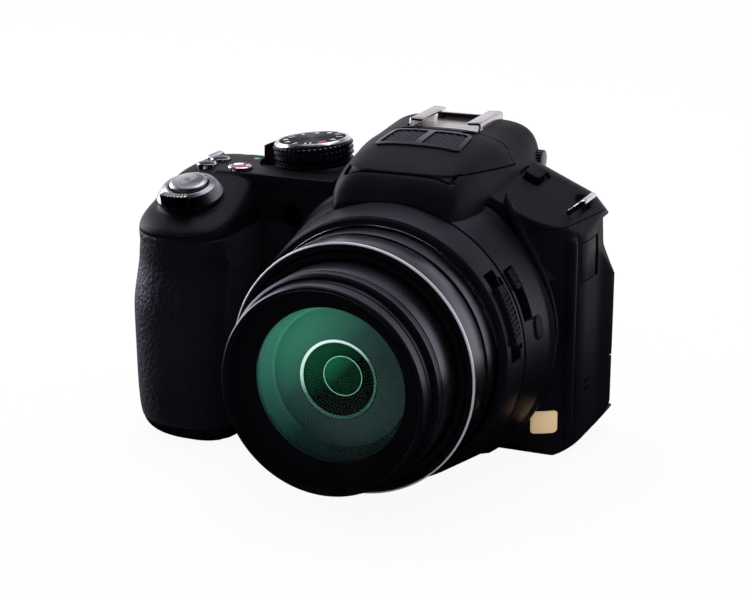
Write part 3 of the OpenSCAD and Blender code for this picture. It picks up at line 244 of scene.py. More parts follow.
# Painted reflections: these optics carry the lights' reflections in their base colour, brighter to the upper
# left, and the two rims carry a painted white highlight there
m_well = painted_optic("well_painted_reflection", [(0.0, (0.006, 0.012, 0.011)), (0.4, (0.012, 0.04, 0.033)),
                              (0.7, (0.06, 0.24, 0.18)), (0.95, (0.12, 0.46, 0.33))], 0.25, 20)
m_second = painted_optic("second_painted_reflection", [(0.0, (0.028, 0.055, 0.05)), (0.4, (0.022, 0.045, 0.04)),
                                  (0.6, (0.03, 0.08, 0.065)), (0.95, (0.07, 0.33, 0.22))], 0.2, 18)
m_deep = painted_optic("deep_painted_reflection", [(0.0, (0.0002, 0.002, 0.0006)), (0.5, (0.0003, 0.006, 0.002)),
                              (0.95, (0.003, 0.09, 0.035))], 0.2, 10)
m_bezel = painted_optic("bezel_painted_highlight", [(0.0, (0.03, 0.08, 0.065)), (0.5, (0.06, 0.15, 0.12)),
                                (0.75, (0.6, 0.75, 0.7)), (1.0, (0.9, 1.0, 0.96))],
                 0.2, 10, 1.0, (-0.5, 0.85))
m_bezel2 = painted_optic("inner_rim_painted_highlight", [(0.0, (0.12, 0.3, 0.22)), (1.0, (0.25, 0.5, 0.4))], 0.2, 5, 1.0)
m_inner_reflection = painted_optic("inner_element_painted_reflection", [(0.0, (0.001, 0.02, 0.008)), (0.5, (0.001, 0.025, 0.01)),
                                   (1.0, (0.008, 0.2, 0.08))], 0.06, 5)
m_steel = metal("brushed_steel", (0.62, 0.61, 0.6), 0.3)
m_dark = metal("dark_anodised", (0.09, 0.088, 0.095), 0.38)
m_glass = glass("front_element", (0.88, 0.97, 0.94), 0.0, 1.12)
m_red = plastic("red_cap", (0.42, 0.03, 0.03), 0.35)

SLOT_MATS = {
    "shell_plastic": m_shell, "gloss_black": m_gloss, "grip_rubber": m_rubber, "dark_metal": m_dark,
    "steel": m_steel, "lens_glass": m_glass, "red_button": m_red,
    "bright_metal": metal("spun_silver", (0.72, 0.71, 0.72), 0.28),
    "cast_frame": metal("cast_alloy", (0.42, 0.42, 0.43), 0.55),
    "gold_trim": plastic("gold_enamel", (0.97, 0.72, 0.36), 0.32, spread=0.05),
    "circuit": plastic("circuit_board", (0.02, 0.09, 0.045), 0.5),
    "cell_case": plastic("cell_case", (0.03, 0.03, 0.034), 0.5),
    "card_plastic": plastic("card_case", (0.015, 0.035, 0.13), 0.5),
    "green_lamp": plastic("green_lamp", (0.06, 0.5, 0.18), 0.25),
    "window": glass("tinted_window", (0.12, 0.1, 0.11), 0.05),
    "clear_window": glass("ribbed_clear", (0.85, 0.87, 0.88), 0.12),
    "screen_glass": plastic("screen_face", (0.004, 0.004, 0.005), 0.08, depth=0.0)}
for part in frame["record"]["subparts"]:
    mesh = NODES[part["node"]].data
    mesh.materials.clear()
    mesh.materials.append(SLOT_MATS[part["material_slot"]])
# The inner glass takes the inner element's painted reflection
NODES["inner_glass"].data.materials[0] = m_inner_reflection


# Shapes

def add(name, data):
    o = bpy.data.objects.new(name, data)
    scene.collection.objects.link(o)
    return o


def drop(o):
    mesh = o.data
    bpy.data.objects.remove(o)
    if mesh and mesh.users == 0:
        bpy.data.meshes.remove(mesh)


def make(name, verts, faces):
    """New object from vertices in millimetres."""
    mesh = bpy.data.meshes.new(name)
    mesh.from_pydata((np.asarray(verts, float) * MM).tolist(), [], [tuple(f) for f in faces])
    bm = bmesh.new()
    bm.from_mesh(mesh)
    bmesh.ops.remove_doubles(bm, verts=bm.verts, dist=1e-7)
    bmesh.ops.recalc_face_normals(bm, faces=bm.faces)
    bm.to_mesh(mesh)
    bm.free()
    return add(name, mesh)


def from_bmesh(name, bm):
    mesh = bpy.data.meshes.new(name)
    bm.to_mesh(mesh)
    bm.free()
    return add(name, mesh)


def merged(name, parts):
    """One object from separate closed pieces that don't cross."""
    bm = bmesh.new()
    for part in parts:
        bm.from_mesh(part.data)
        drop(part)
    return from_bmesh(name, bm)


def hull(name, points):
    """Convex skin round points in millimetres."""
    bm = bmesh.new()
    for p in points:
        bm.verts.new([c * MM for c in p])
    skin = bmesh.ops.convex_hull(bm, input=bm.verts)
    spare = list(set(skin["geom_interior"] + skin["geom_unused"]))
    bmesh.ops.delete(bm, geom=spare, context="VERTS")
    return from_bmesh(name, bm)


def loft(name, rings, loop=False):
    """Skin through rings of equal count; a loop closes on itself, otherwise the ends are capped."""
    n, k = len(rings[0]), len(rings)
    faces = []
    for i in range(k if loop else k - 1):
        a, b = i * n, (i + 1) % k * n
        faces += [(a + j, a + (j + 1) % n, b + (j + 1) % n, b + j) for j in range(n)]
    if not loop:
        faces += [range(n), range((k - 1) * n, k * n)]
    return make(name, np.concatenate(rings), faces)


def circle(angle, r=1.0):
    return r * math.cos(angle), r * math.sin(angle)


def arc(c, a, b, n):
    """Points on the circle about c from a to b by the shorter way."""
    c, a, b = (np.asarray(p, float) for p in (c, a, b))
    r = np.linalg.norm(a - c)
    s = math.atan2(*(a - c)[::-1])
    d = (math.atan2(*(b - c)[::-1]) - s + math.pi) % (2 * math.pi) - math.pi
    return [c + np.array(circle(s + d * i / n, r)) for i in range(n + 1)]


def soft(points, n=6):
    """Closed outline from [x, y, corner radius] points."""
    out = []
    for i, (x, y, r) in enumerate(points):
        q = np.array([x, y], float)
        if r <= 0:
            out.append(q)
            continue
        u = np.array(points[i - 1][:2], float) - q
        v = np.array(points[(i + 1) % len(points)][:2], float) - q
        lu, lv = np.linalg.norm(u), np.linalg.norm(v)
        u, v = u / lu, v / lv
        half = math.acos(max(-1.0, min(1.0, float(u @ v)))) / 2
        t = min(r / math.tan(half), lu * 0.499, lv * 0.499)
        m = q + (u + v) / np.linalg.norm(u + v) * t / math.cos(half)
        out += arc(m, q + u * t, q + v * t, n)
    return np.array(out)


def box2(x0, x1, y0, y1):
    return [(x0, y0), (x1, y0), (x1, y1), (x0, y1)]


def soft_box(x0, x1, y0, y1, r, n=6):
    return soft([[x, y, r] for x, y in box2(x0, x1, y0, y1)], n)


def prism(name, outline, axis, lo, hi):
    """Outline drawn out along an axis: X takes (y, z), Y takes (x, z), Z takes (x, y)."""
    flat = np.asarray(outline, float)
    return loft(name, [np.insert(flat, "XYZ".index(axis), h, axis=1) for h in (lo, hi)])


def block(lo, hi):
    return prism("cut", box2(lo[0], hi[0], lo[1], hi[1]), "Z", lo[2], hi[2])


def pocket(lo, hi, r=1.5):
    return prism("cut", soft_box(lo[0], hi[0], lo[1], hi[1], r), "Z", lo[2], hi[2])


def axes(origin, x, y, z):
    """Places local points, in millimetres, in a frame given by its origin and axes."""
    m = np.array([x, y, z], float)
    o = np.array(origin, float)
    return lambda p: np.asarray(p, float) @ m + o


def turned(degrees_xyz, origin):
    """Frame turned about X, then Y, then Z, as the solids are."""
    r = np.eye(3)
    for i, a in enumerate(degrees_xyz):
        r = np.array(Matrix.Rotation(math.radians(a), 3, "XYZ"[i])) @ r
    return axes(origin, r[:, 0], r[:, 1], r[:, 2])


def along_x(x, y, z):
    """Frame with its Z axis to the right."""
    return axes((x, y, z), (0, 1, 0), (0, 0, 1), (1, 0, 0))


def along_y(x, z):
    """Frame with its Z axis to the rear."""
    return axes((x, 0, z), (1, 0, 0), (0, 0, -1), (0, 1, 0))


def upright(x, y, z=0.0):
    return axes((x, y, z), (1, 0, 0), (0, 1, 0), (0, 0, 1))


def put(o, place):
    """Moves a fresh object's vertices from a local frame to their place."""
    v = np.empty(len(o.data.vertices) * 3)
    o.data.vertices.foreach_get("co", v)
    v = place(v.reshape(-1, 3) / MM) * MM
    o.data.vertices.foreach_set("co", v.ravel())
    o.data.update()
    return o


def lathe(name, profile, place, segs=96, span=None):
    """Closed (radius, height) profile turned about the local Z axis, all round or over a span of degrees."""
    p = np.asarray(profile, float)
    if span is None:
        angles = np.arange(segs) * 2 * math.pi / segs
    else:
        angles = np.radians(np.linspace(span[0], span[1], segs))
    rings = [place(np.stack([*circle(a, p[:, 0]), p[:, 1]], 1)) for a in angles]
    return loft(name, rings, loop=span is None)


def disc(r, h0, h1, place, segs=64, name="cut"):
    return lathe(name, [(0, h0), (r, h0), (r, h1), (0, h1)], place, segs)


def tube(name, path, r, segs=16):
    """Round tube along an open path of points, with rounded ends."""
    path = np.asarray(path, float)
    radii = np.broadcast_to(np.asarray(r, float), len(path))
    d = np.gradient(path, axis=0)
    d /= np.linalg.norm(d, axis=1)[:, None]
    u = np.array([0.0, 0.0, 1.0]) if abs(d[0][2]) < 0.9 else np.array([0.0, 1.0, 0.0])
    a = np.arange(segs) * 2 * math.pi / segs
    cap = np.linspace(0.15, 1.57, 5)
    rings = []
    for i in range(len(path)):
        u = u - d[i] * (u @ d[i])
        u /= np.linalg.norm(u)
        ring = np.outer(np.cos(a), u) + np.outer(np.sin(a), np.cross(d[i], u))
        stops = [(0, 1)]
        if i == 0:
            stops = [(-math.cos(t), math.sin(t)) for t in cap]
        if i == len(path) - 1:
            stops = [circle(t) for t in cap[::-1]]
        rings += [path[i] + d[i] * radii[i] * c + ring * radii[i] * s for c, s in stops]
    return loft(name, rings)


def settle(o):
    """Applies the modifiers of a fresh object."""
    graph = bpy.context.evaluated_depsgraph_get()
    mesh = bpy.data.meshes.new_from_object(o.evaluated_get(graph))
    o.modifiers.clear()
    old = o.data
    o.data = mesh
    bpy.data.meshes.remove(old)
    return o


def combine(a, operation, tools):
    """Adds, cuts or keeps what the tools cover, and drops the tools."""
    for tool in tools:
        m = a.modifiers.new("boolean", "BOOLEAN")
        m.operation = operation
        m.solver = "MANIFOLD"
        m.object = tool
    settle(a)
    for tool in tools:
        drop(tool)
    return a


def join(parts):
    return combine(parts[0], "UNION", parts[1:]) if len(parts) > 1 else parts[0]


def cut(a, *tools):
    return combine(a, "DIFFERENCE", [join(list(tools))])


def keep_in(a, *rooms):
    return combine(a, "INTERSECT", rooms)


def twin(o, name):
    return add(name, o.data.copy())


def round_off(o, voxel, passes, ratio=1.0):
    """Blends a union into one skin with soft edges."""
    skin = o.modifiers.new("skin", "REMESH")
    skin.mode = "VOXEL"
    skin.voxel_size = voxel * MM
    smooth = o.modifiers.new("smooth", "SMOOTH")
    smooth.factor = 0.5
    smooth.iterations = passes
    if ratio < 1:
        o.modifiers.new("thin", "DECIMATE").ratio = ratio
    return settle(o)


def soften(o, width, angle):
    bevel = o.modifiers.new("bevel", "BEVEL")
    bevel.width = width * MM
    bevel.segments = 2
    bevel.limit_method = "ANGLE"
    bevel.angle_limit = math.radians(angle)


def dress(o, body, mat, *nodes, angle=35):
    """Gives a finished piece its material, smooth shading and body, and hides the solids that it stands for.
    """
    o.data.materials.clear()
    o.data.materials.append(mat)
    o.data.shade_smooth()
    o.data.set_sharp_from_angle(angle=math.radians(angle))
    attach(o, body)
    if nodes:
        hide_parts(*nodes)


def bowl(r, rim, apex, n=24):
    """Points of a spherical face from the rim to the axis."""
    b = apex - rim
    s = (r * r + b * b) / (2 * abs(b))
    x = np.linspace(r, 0, n)
    return [(a, rim + math.copysign(1, b) * (math.sqrt(s * s - a * a) - s + abs(b))) for a in x]


LENS = axes((0, 0, AXIS_Z), (1, 0, 0), (0, 0, 1), (0, -1, 0))
SHUTTER = turned((16, 0, 0), (-60, -31, 67.339))
DIAL = turned((0, -5, 0), (-38, 2.3, DECK_Z))
FLASH_BUTTON = turned((10.8, 24.2, 0), (27.2, 3.6, 74))


# Housing

BODY_FRONT = [[-60, 0, 0], [48.8, 0, 12], [48.8, 46.5, 5], [45.6, 55.5, 5], [45.3, 62, 3], [45.3, 75.6, 0],
              [-20, 75.6, 0], [-24, 72, 0], [-60, 72, 0]]
BODY_SIDE = [[-17, 0, 6], [18, 0, 5], [18, 100, 0], [-17, 100, 0]]
# Height and inset of each side of the grip
GRIP_LEFT = [[0, 3.6], [1.5, 1.6], [3, 0.6], [5, 0.1], [9, 0], [26, 0.3], [43, 0.6], [48, 0.9], [52, 1.4],
             [54.5, 2], [56.5, 2.6], [61, 2.4], [65, 2.4], [67.5, 2.6], [69, 3], [70, 3.8], [71, 5.4],
             [72, 8]]
GRIP_FRONT = [[0, 8.5], [1.5, 6], [4, 3.8], [10, 1.8], [25, 0.5], [38, 0], [51, 2.6], [56, 1.6], [60, 1.2],
              [61.5, 2], [63, 4.5], [65, 10.5], [67, 16.5], [69, 23], [71, 30], [72, 34]]
GRIP_RIGHT = [[0, 2], [4, 0.5], [10, 0], [62, 0], [72, 4]]
GRIP_BACK = [[0, 4], [4, 1], [9, 0], [60, 0], [64, 1], [67, 2.5], [69, 4.3], [70.5, 6.5], [71.5, 9],
             [72, 13]]
# Place along Y, half width, top and squareness of the hump, and of the cowl over the collar
HUMP = [[-34, 16.5, 72.2, 5], [-32, 17.4, 76, 5], [-29.5, 18.5, 78.8, 4.5], [-22, 20.6, 82, 3.7],
        [-12, 22.6, 84.4, 3.2], [0, 24.8, 85, 3.2], [10, 25.2, 85, 3.4], [17, 24, 85, 4.2],
        [22, 22.6, 84.8, 5], [24.2, 21.4, 83.4, 5], [25.3, 19.6, 81.4, 5]]
COWL = [[-34, 20, 72.2, 1.6], [-32, 23.5, 74.2, 1.6], [-28, 29.5, 75.2, 1.55], [-22, 35, 75.2, 1.5],
        [-13, 40, 75.2, 1.5]]


def plan_outline(d):
    """Outline of the body seen from above, drawn in by d."""
    return soft([[-60, d - 17, 0], [37 - 0.47 * d, d - 17, 16 - d], [44.9 - 0.9 * d, 0.4 * d - 7.5, 10 - d],
                 [45.8 - d, 5 + 0.2 * d, 8], [48.8 - d, 10.5 + 0.2 * d, 6 - d], [48.8 - d, 18 - d, 5.5 - d],
                 [-30.5, 18 - d, 2], [-34, 15 - d, 2], [-60, 15 - d, 0]], 16)


def flow(table, x):
    """Monotone smooth curve through a table, at x."""
    t = np.array(table, float)
    xs, ys = t[:, 0], t[:, 1:]
    h = np.diff(xs)[:, None]
    d = np.diff(ys, axis=0) / h
    m = np.zeros_like(ys)
    m[0], m[-1] = d[0], d[-1]
    same = d[:-1] * d[1:] > 0
    w1, w2 = 2 * h[1:] + h[:-1], h[1:] + 2 * h[:-1]
    safe = np.where(same, w1 / np.where(d[:-1] == 0, 1, d[:-1]) + w2 / np.where(d[1:] == 0, 1, d[1:]), 1)
    m[1:-1] = np.where(same, (w1 + w2) / safe, 0)
    i = np.clip(np.searchsorted(xs, x) - 1, 0, len(h) - 1)
    s = (np.asarray(x, float) - xs[i])[:, None] / h[i]
    return ((1 + 2 * s) * (1 - s) ** 2 * ys[i] + s * (1 - s) ** 2 * h[i] * m[i]
            + s * s * (3 - 2 * s) * ys[i + 1] + s * s * (s - 1) * h[i] * m[i + 1])


def grip_form(name, d=0.0):
    """Hand grip lofted up its height, drawn in by d."""
    levels = np.unique(np.concatenate([np.linspace(0, 4, 9), np.linspace(4, 60, 40),
        np.linspace(60, 72, 37)]))
    insets = [flow(side, levels)[:, 0] for side in (GRIP_LEFT, GRIP_FRONT, GRIP_RIGHT, GRIP_BACK)]
    rings = []
    for h, li, fi, ri, bi in zip(levels, *insets):
        x0, x1, y0, y1 = -75.8 + li + d, -45.5 - ri - d, -48 + fi + d, 15 - bi - d
        w = x1 - x0
        ring = soft([[x0, y0, w * 0.5], [x1, y0, w * 0.33], [x1, y1, w * 0.15], [x0, y1, w * 0.33]], 14)
        rings.append(np.column_stack([ring, np.full(len(ring), h)]))
    return loft(name, rings)


def bow_form(name, stations, foot, d=0.0, count=48):
    """Arched form lofted along Y from [y, half width, top, squareness] stations, grown by d."""
    t = np.array(stations, float)
    ys = np.unique(np.concatenate([np.linspace(a, b, 7) for a, b in zip(t[:-1, 0], t[1:, 0])]))
    a = np.linspace(math.pi, 0, count + 1)
    c, s = np.cos(a), np.sin(a)
    rings = []
    for y, (half, top, n) in zip(ys, flow(stations, ys)):
        rings.append(np.column_stack([(half + d) * np.sign(c) * np.abs(c) ** (2 / n), np.full(len(a), y),
            foot + (top + d - foot) * np.abs(s) ** (2 / n)]))
    return loft(name, rings)


def hump_top(x, y):
    """Height of the hump's skin."""
    half, top, n = flow(HUMP, np.array([y]))[0]
    return HUMP_FOOT + (top - HUMP_FOOT) * max(0.0, 1 - abs(x / half) ** n) ** (1 / n)


# Fall and lean in degrees, place along X and Z, and rear edge radius of each shoulder face
SHOULDERS = ((24.2, 10.8, 27, 75.4, 10), (49, 7.9, 41.4, 68.9, 9))


def shoulder_frame(fall, lean, x, z):
    return turned((lean, fall, 0), (x, 10, z))


def slope(*face):
    """Room above a sloped shoulder face."""
    return put(block((-9, -60, 0), (60, 60, 60)), shoulder_frame(*face))


def rear_round(x0, x1, y, z, r, reach=FAR):
    """Room to clear outside a rounded rear edge along X."""
    o = block((x0, y - r, z - r), (x1, reach, reach))
    return cut(o, disc(r, x0 - 9, x1 + 9, along_x(0, y - r, z - r), 96))


def back_round(*face, r):
    return put(rear_round(-9, 60, 8, 0, r, 60), shoulder_frame(*face))


# Place, tilt and half span of each strap lug
LUGS = {"strap_lug_right": ((40.6, 0.6, 67.6), 52, 5), "strap_lug_left": ((-69.8, 7, 67.5), -45, 4)}
LUG_SEAT = turned((0, 52, 0), (40.6, 0.6, 67.6))


def lug_holes(name):
    (x, y, z), tilt, half = LUGS[name]
    return [disc(0.88, -4, 6, turned((0, tilt, 0), (x, y + s * half, z)), 24) for s in (-1, 1)]


BATTERY = ((-68.4, -36, 2.3), (-49.2, 0.8, 47.6), 4)
CARD = ((-48, -12, 2.3), (-45.3, 11.6, 37), 1)
BATTERY_DOOR = ((-69.7, -36.9, -1), (-44.2, 12.3, 2.3), 3.3)
LID_HINGES = (-9, 9)


def screen_room():
    return [block((-28.3, 12.2, 6.2), (44.5, FAR, 62.8)), disc(6.4, 6.2, 62.8, upright(*HINGE), 96)]


def lens_bore():
    return disc(33.6, 0, 100, LENS, 96)


def focus_lamp_hole():
    return disc(3.1, -30, -14.4, along_y(-36, 61.4), 48)


def lid_rod(r, h0, h1, x=0, segs=24, name="cut"):
    """Round rod on the flash lid's axis."""
    return disc(r, h0, h1, along_x(x, *LID_AXIS), segs, name)


def knuckle(z):
    """Screen hinge knuckle about a height."""
    turns = np.linspace(0, 6.2, 32)
    ends = ((*HINGE, 3.2), (43, 7.8, 2.2))
    rings = [(x + r * math.cos(t), y + r * math.sin(t)) for x, y, r in ends for t in turns]
    return hull("knuckle", [(x, y, h) for h in (z - 2.4, z + 2.4) for x, y in rings])


core = prism("master", plan_outline(0), "Z", 0, 100)
keep_in(core, prism("cut", soft(BODY_FRONT, 16), "Y", -18, 19), prism("cut", soft(BODY_SIDE, 12), "X", -200,
    200))
cut(core, *[slope(*f[:4]) for f in SHOULDERS], *[back_round(*f[:4], r=f[4]) for f in SHOULDERS],
    rear_round(-100, -31, 15, DECK_Z, 12), rear_round(-32, -22, 18, DECK_Z, 8))
# Step, X, Y and Z along the ridge beside the collar
RIDGE = [[0, 40.4, -17.6, 26], [1, 40.6, -17.6, 34], [2, 39.8, -17.6, 42], [3, 37.8, -17.8, 50],
         [4, 34.6, -18, 57], [5, 30.6, -17.6, 63.5], [6, 27.2, -16.6, 69], [7, 25.2, -14.6, 73]]
steps = np.linspace(0, 7, 40)
hump = bow_form("hump", HUMP, HUMP_FOOT)
skin_hump = cut(twin(hump, "skin_hump"), block((-FAR, 17.7, 0), (FAR, FAR, 65.5)))
master = join([core, grip_form("grip"), skin_hump, bow_form("cowl", COWL, 50),
               prism("eye", soft_box(-14, 14, 66, 82, 4), "Y", 10, 26.5),
               disc(9, -3, 0, SHUTTER, name="seat"), disc(11.8, -8, 0, DIAL, 96, name="boss"),
               tube("rib", [(42.5, -10.6, z) for z in np.linspace(7, 60, 12)], 1.7),
               tube("ridge", flow(RIDGE, steps), np.interp(steps, [0, 1.5, 6, 7], [0.3, 1.3, 1.3, 0.4]))])
cut(master, disc(10.8, 0, 20, SHUTTER, 96), put(pocket((-2.4, -6.6, -1.4), (2.4, 6.6, 8), 2.2), LUG_SEAT))
round_off(master, 0.42, 6, 0.3)


def top_zone(d):
    """Room of the top cover, grown by d."""
    left = put(block((-100, -100, -d), (d, d, 150)), turned((16, -17, 0), (-56, -13, 70)))
    keep_in(left, block((-FAR, -FAR, 60.1 - d), (FAR, FAR, FAR)))
    return join([block((-45 - d, -FAR, 49 - d), (100, -17.2 + d, FAR)), block((-24 - d, -FAR, 64.5 - d),
        (FAR, FAR, FAR)), block((-FAR, -25 - d, 70 - d), (-20 + d, FAR, FAR)),
                 put(block((-FAR, -FAR, -d), (-20 + d, d, 150)), turned((16, 0, 0), (0, -13, 70))), left])


def front_zone(d):
    return join([block((-FAR, -FAR, -9), (-46 + d, 2 + d, FAR)), block((-51 - d, -FAR, -9),
        (FAR, -8.7 + d, FAR))])


def rubber_room():
    o = block((-FAR, -FAR, 5), (-45, 2, 59.5))
    return cut(o, block((-60, -17, -9), (FAR, FAR, FAR)), grip_form("cut", 1.6))


def mic_door_room(d):
    o = block((30, -7.4 - d, 48.6 - d), (100, 1.4, 59.4 + d))
    cut(o, prism("cut", plan_outline(1.5 + d), "Z", -5, 90))
    return join([o, disc(1.2 + d, 48.6 - d, 59.4 + d, upright(43.6, 1.4)),
                 block((42.8, 0.4, 48.6 - d), (100, 3.4 + d, 59.4 + d))])


def terminal_room(d):
    return join([block((-100, 5.8, 18 - d), (-73 + d, 11 + d, 44 + d)), disc(1.2 + d, 18 - d, 44 + d,
        upright(-73.9, 5.8)), block((-100, 3.8 - d, 18 - d), (-73.1, 6.8, 44 + d))])


def thumb_room():
    o = put(grip_form("cut"), lambda p: p + np.array([0, 0.5, 0]))
    return keep_in(o, prism("cut", soft_box(-70.8, -61.8, 30, 57, 3), "Y", 13.6, 17))


DECK_BUTTONS = {"movie_button": (-54, -13, 3.4), "function_button": (-64, -5.5, 2.8),
                "drive_button": (-64.6, -12.6, 2.8)}
REAR_BUTTONS = {"playback_button": (-39, 45, 2.6), "lock_button": (-38.8, 55.6, 2.8),
                "display_button": (-62, 12.5, 2.4), "menu_button": (-38.6, 12.5, 2.4),
                "viewfinder_button": (-38.8, 62.4, 2.2)}


def deck_tools():
    return [disc(2.3, -8, 20, SHUTTER, 32), disc(4.1, -6, 4, DIAL), disc(0.9, 69, 75, upright(-55, 0),
        24)] + [disc(r + GAP, 68.4, 92, upright(x, y), 48) for x, y, r in DECK_BUTTONS.values()]


# Lower edge of the flash lid, seen from the right
LID_EDGE = [(-60, 79.3), (-28, 79.2), (-22, 78.7), (-12, 78.0), (0.6, 77.2)]


def lid_room(d):
    """Room of the flash lid, grown by d below and behind."""
    o = prism("cut", [(y, z - d) for y, z in LID_EDGE] + [(0.6, 82.6), (0.6, 110), (-60, 110)], "X", -60,
              60)
    cut(o, block((-60, 0.6 + d, 60), (60, 9, 120)))
    return join([o, lid_rod(2.4 + d, -60, 60, segs=48)])


def mic_outline(d=0.0):
    """Outline of the microphone pad, grown by d."""
    return [[-12.5 - d, -16 - d, 2 + d], [12.5 + d, -16 - d, 2 + d], [11.5 + d, -2.3 + d, 2 + d],
            [-11.5 - d, -2.3 + d, 2 + d]]


badge_seat = prism("cut", soft_box(34, 40.6, 7.1, 13.7, 1), "Y", -20, -8)
cut(badge_seat, prism("cut", plan_outline(0.9), "Z", -5, 90))
front = keep_in(twin(master, "front_shell"), front_zone(-SEAM))
cut(front, top_zone(SEAM), badge_seat, lathe("cut", [(32.6, 16.98), (41.5, 16.98), (41.5, 22), (32.6, 22)],
    LENS, 96), rubber_room(), pocket(*BATTERY), pocket(*CARD), lens_bore(), focus_lamp_hole(),
    *deck_tools(), pocket(*BATTERY_DOOR), mic_door_room(GAP))
dress(front, ROOT, m_shell, "front_cover")

knuckles = [knuckle(34.5 + s * 8.6) for s in (-1, 1)]
rear = twin(master, "rear_shell")
cut(rear, front_zone(SEAM), top_zone(SEAM), *screen_room())
join([rear] + knuckles)
cut(rear, lens_bore(), disc(1.3, 23, 46, upright(*HINGE), 32), mic_door_room(GAP), terminal_room(GAP),
    thumb_room(), pocket(*BATTERY_DOOR), pocket(*BATTERY), pocket(*CARD), *deck_tools(),
    disc(6.1, -1, 5.2, upright(0, 0)), *[disc(r + GAP, 12.4, 30, along_y(x, z), 48) for x, z,
    r in REAR_BUTTONS.values()], disc(9.8, 12.4, 30, along_y(-49.5, 27)),
    disc(6.7, 59.2, 63.8, upright(-52, 11)), disc(1.6, 56.5, 64.5, upright(-52, 11), 32),
    *[disc(2.3, -1, 1.4, upright(x, y), 32) for x, y in ((-30, 8), (34, 8), (-32, -5), (30, -5))],
    *[disc(0.62, 40, 60, along_x(0, y, z), 20) for y in (-3.35, -1.15) for z in (17.2, 19.6)],
    *lug_holes("strap_lug_left"), block((43.9, -9, 4), (60, -8.15, 62)),
    block((48.1, 8, 45.4), (60, 17, 45.65)), block((48.1, 8, 23.35), (60, 17, 23.6)))
dress(rear, ROOT, m_shell, "rear_cover")

top = keep_in(master, top_zone(-SEAM))
top.name = "top_shell"
ears = [join([lid_rod(1.9, -1.5, 1.5, x, 32, "ear"), block((x - 1.5, -1.3, 74.2),
    (x + 1.5, 2.5, 82.6))]) for x in LID_HINGES]
lid_space = lid_room(0.1)
cut(lid_space, *ears)
collar_room = [(32.6, 16.7), (41.5, 16.7), (41.5, 18.9), (41, 19.9), (40.2, 20.3), (36.5, 43.3),
               (36.5, 63.6), (32.6, 63.6)]
cut(top, lathe("cut", collar_room, LENS, 144), lid_space, pocket((-15.5, -29.4, 74.7), (15.5, -8.4, 80),
    1.5), lid_rod(1.1, -14, 14), pocket((-9, 4, 67), (9, 27.5, 79)), disc(12.2, 0, 20, DIAL, 96),
    lathe("cut", [(2, 0), (15.5, 0), (15.5, 12), (2, 12)], DIAL, 28, (166, 220)),
    put(prism("cut", soft_box(-2.5, 2.5, -3.5, 3.5, 1.5), "Z", -2.3, 6), FLASH_BUTTON),
    put(prism("cut", soft_box(-3.7, 3.7, -4.7, 4.7, 2.4), "Z", -1.0, 6), FLASH_BUTTON),
    block((-10.75, 3.6, 83.1), (10.75, 23.7, 90)), disc(3.1, -0.4, 20, along_x(22, 20, 74.5)),
    disc(1.3, -3.8, 9, along_x(22, 20, 74.5), 32), focus_lamp_hole(), *deck_tools(),
    *lug_holes("strap_lug_right"), *lug_holes("strap_lug_left"), *screen_room())
dress(top, ROOT, m_shell, "top_cover")

rubber = keep_in(grip_form("rubber_sleeve", -0.12), cut(block((-FAR, -FAR, 5.1), (-45.6, 1.85, 59.4)),
    block((-60, -17.05, -9), (FAR, FAR, FAR)), grip_form("cut", 1.55)))
round_off(rubber, 0.4, 3, 0.5)
dress(rubber, ROOT, m_rubber, "grip_rubber", angle=60)

lid = keep_in(twin(hump, "lid_shell"), lid_room(-0.1))
lid_inside = block((-14.4, -28.4, 77.5), (14.4, -6, 80.5))
keep_in(lid_inside, bow_form("cut", HUMP, HUMP_FOOT, -0.4))
join([lid, lid_inside])
round_off(lid, 0.3, 4, 0.4)
cut(lid, *[block((x - 1.8, -1.6, 74), (x + 1.8, 6.6, 90)) for x in LID_HINGES],
    *[lid_rod(1.05, -2.6, 2.6, x) for x in LID_HINGES])
cut(lid, prism("cut", soft(mic_outline(0.1)), "Z", 81, 90))
dress(lid, FLASH, m_shell, "flash_lid")
pins = join([lid_rod(1, x - 3.4, x + 3.4, name="lid_pins") for x in LID_HINGES])
dress(pins, FLASH, m_steel)
drop(hump)


# Lens

collar = lathe("collar_shell", soft([[33.62, 17.05, 0], [41.2, 17.05, 0.1], [41.2, 18.5, 0.5],
    [40.1, 20.1, 0.8], [37.95, 33.2, 0.15], [37.4, 33.35, 0.1], [37.4, 33.85, 0.1], [37.8, 34.0, 0.15],
    [36.35, 42.9, 0.5], [35.6, 43.55, 0.3], [33.62, 43.55, 0]], 4), LENS, 224)
keep_in(collar, block((-37.5, -80, 0.6), (80, 0, 76.8)))
cut(collar, block((-80, -80, 74.8), (80, -20.4, 90)))


def lens_arc(r0, r1, f0, f1, a0, a1, n=24):
    return lathe("cut", [(r0, f0), (r1, f0), (r1, f1), (r0, f1)], LENS, n, (a0, a1))


def focus_frame(p):
    """Frame of the focus button, with its Z axis outwards."""
    a = math.radians(9)
    out = (math.cos(a), 0, math.sin(a))
    return axes((0, -25.6, AXIS_Z), (0, -1, 0), (-math.sin(a), 0, math.cos(a)), out)(p)


cut(collar, lens_arc(34.6, 60, 35.9, 40.9, 1, 39), lens_arc(35.1, 60, 27.7, 32.3, 14, 36),
    put(prism("cut", soft_box(-2.4, 2.4, -3.4, 3.4, 2.3, 8), "Z", 36, 60), focus_frame))
cut(collar, lens_arc(37.1, 60, 34.8, 41.6, 5, 35))
dress(collar, ROOT, m_collar, "lens_collar", angle=28)

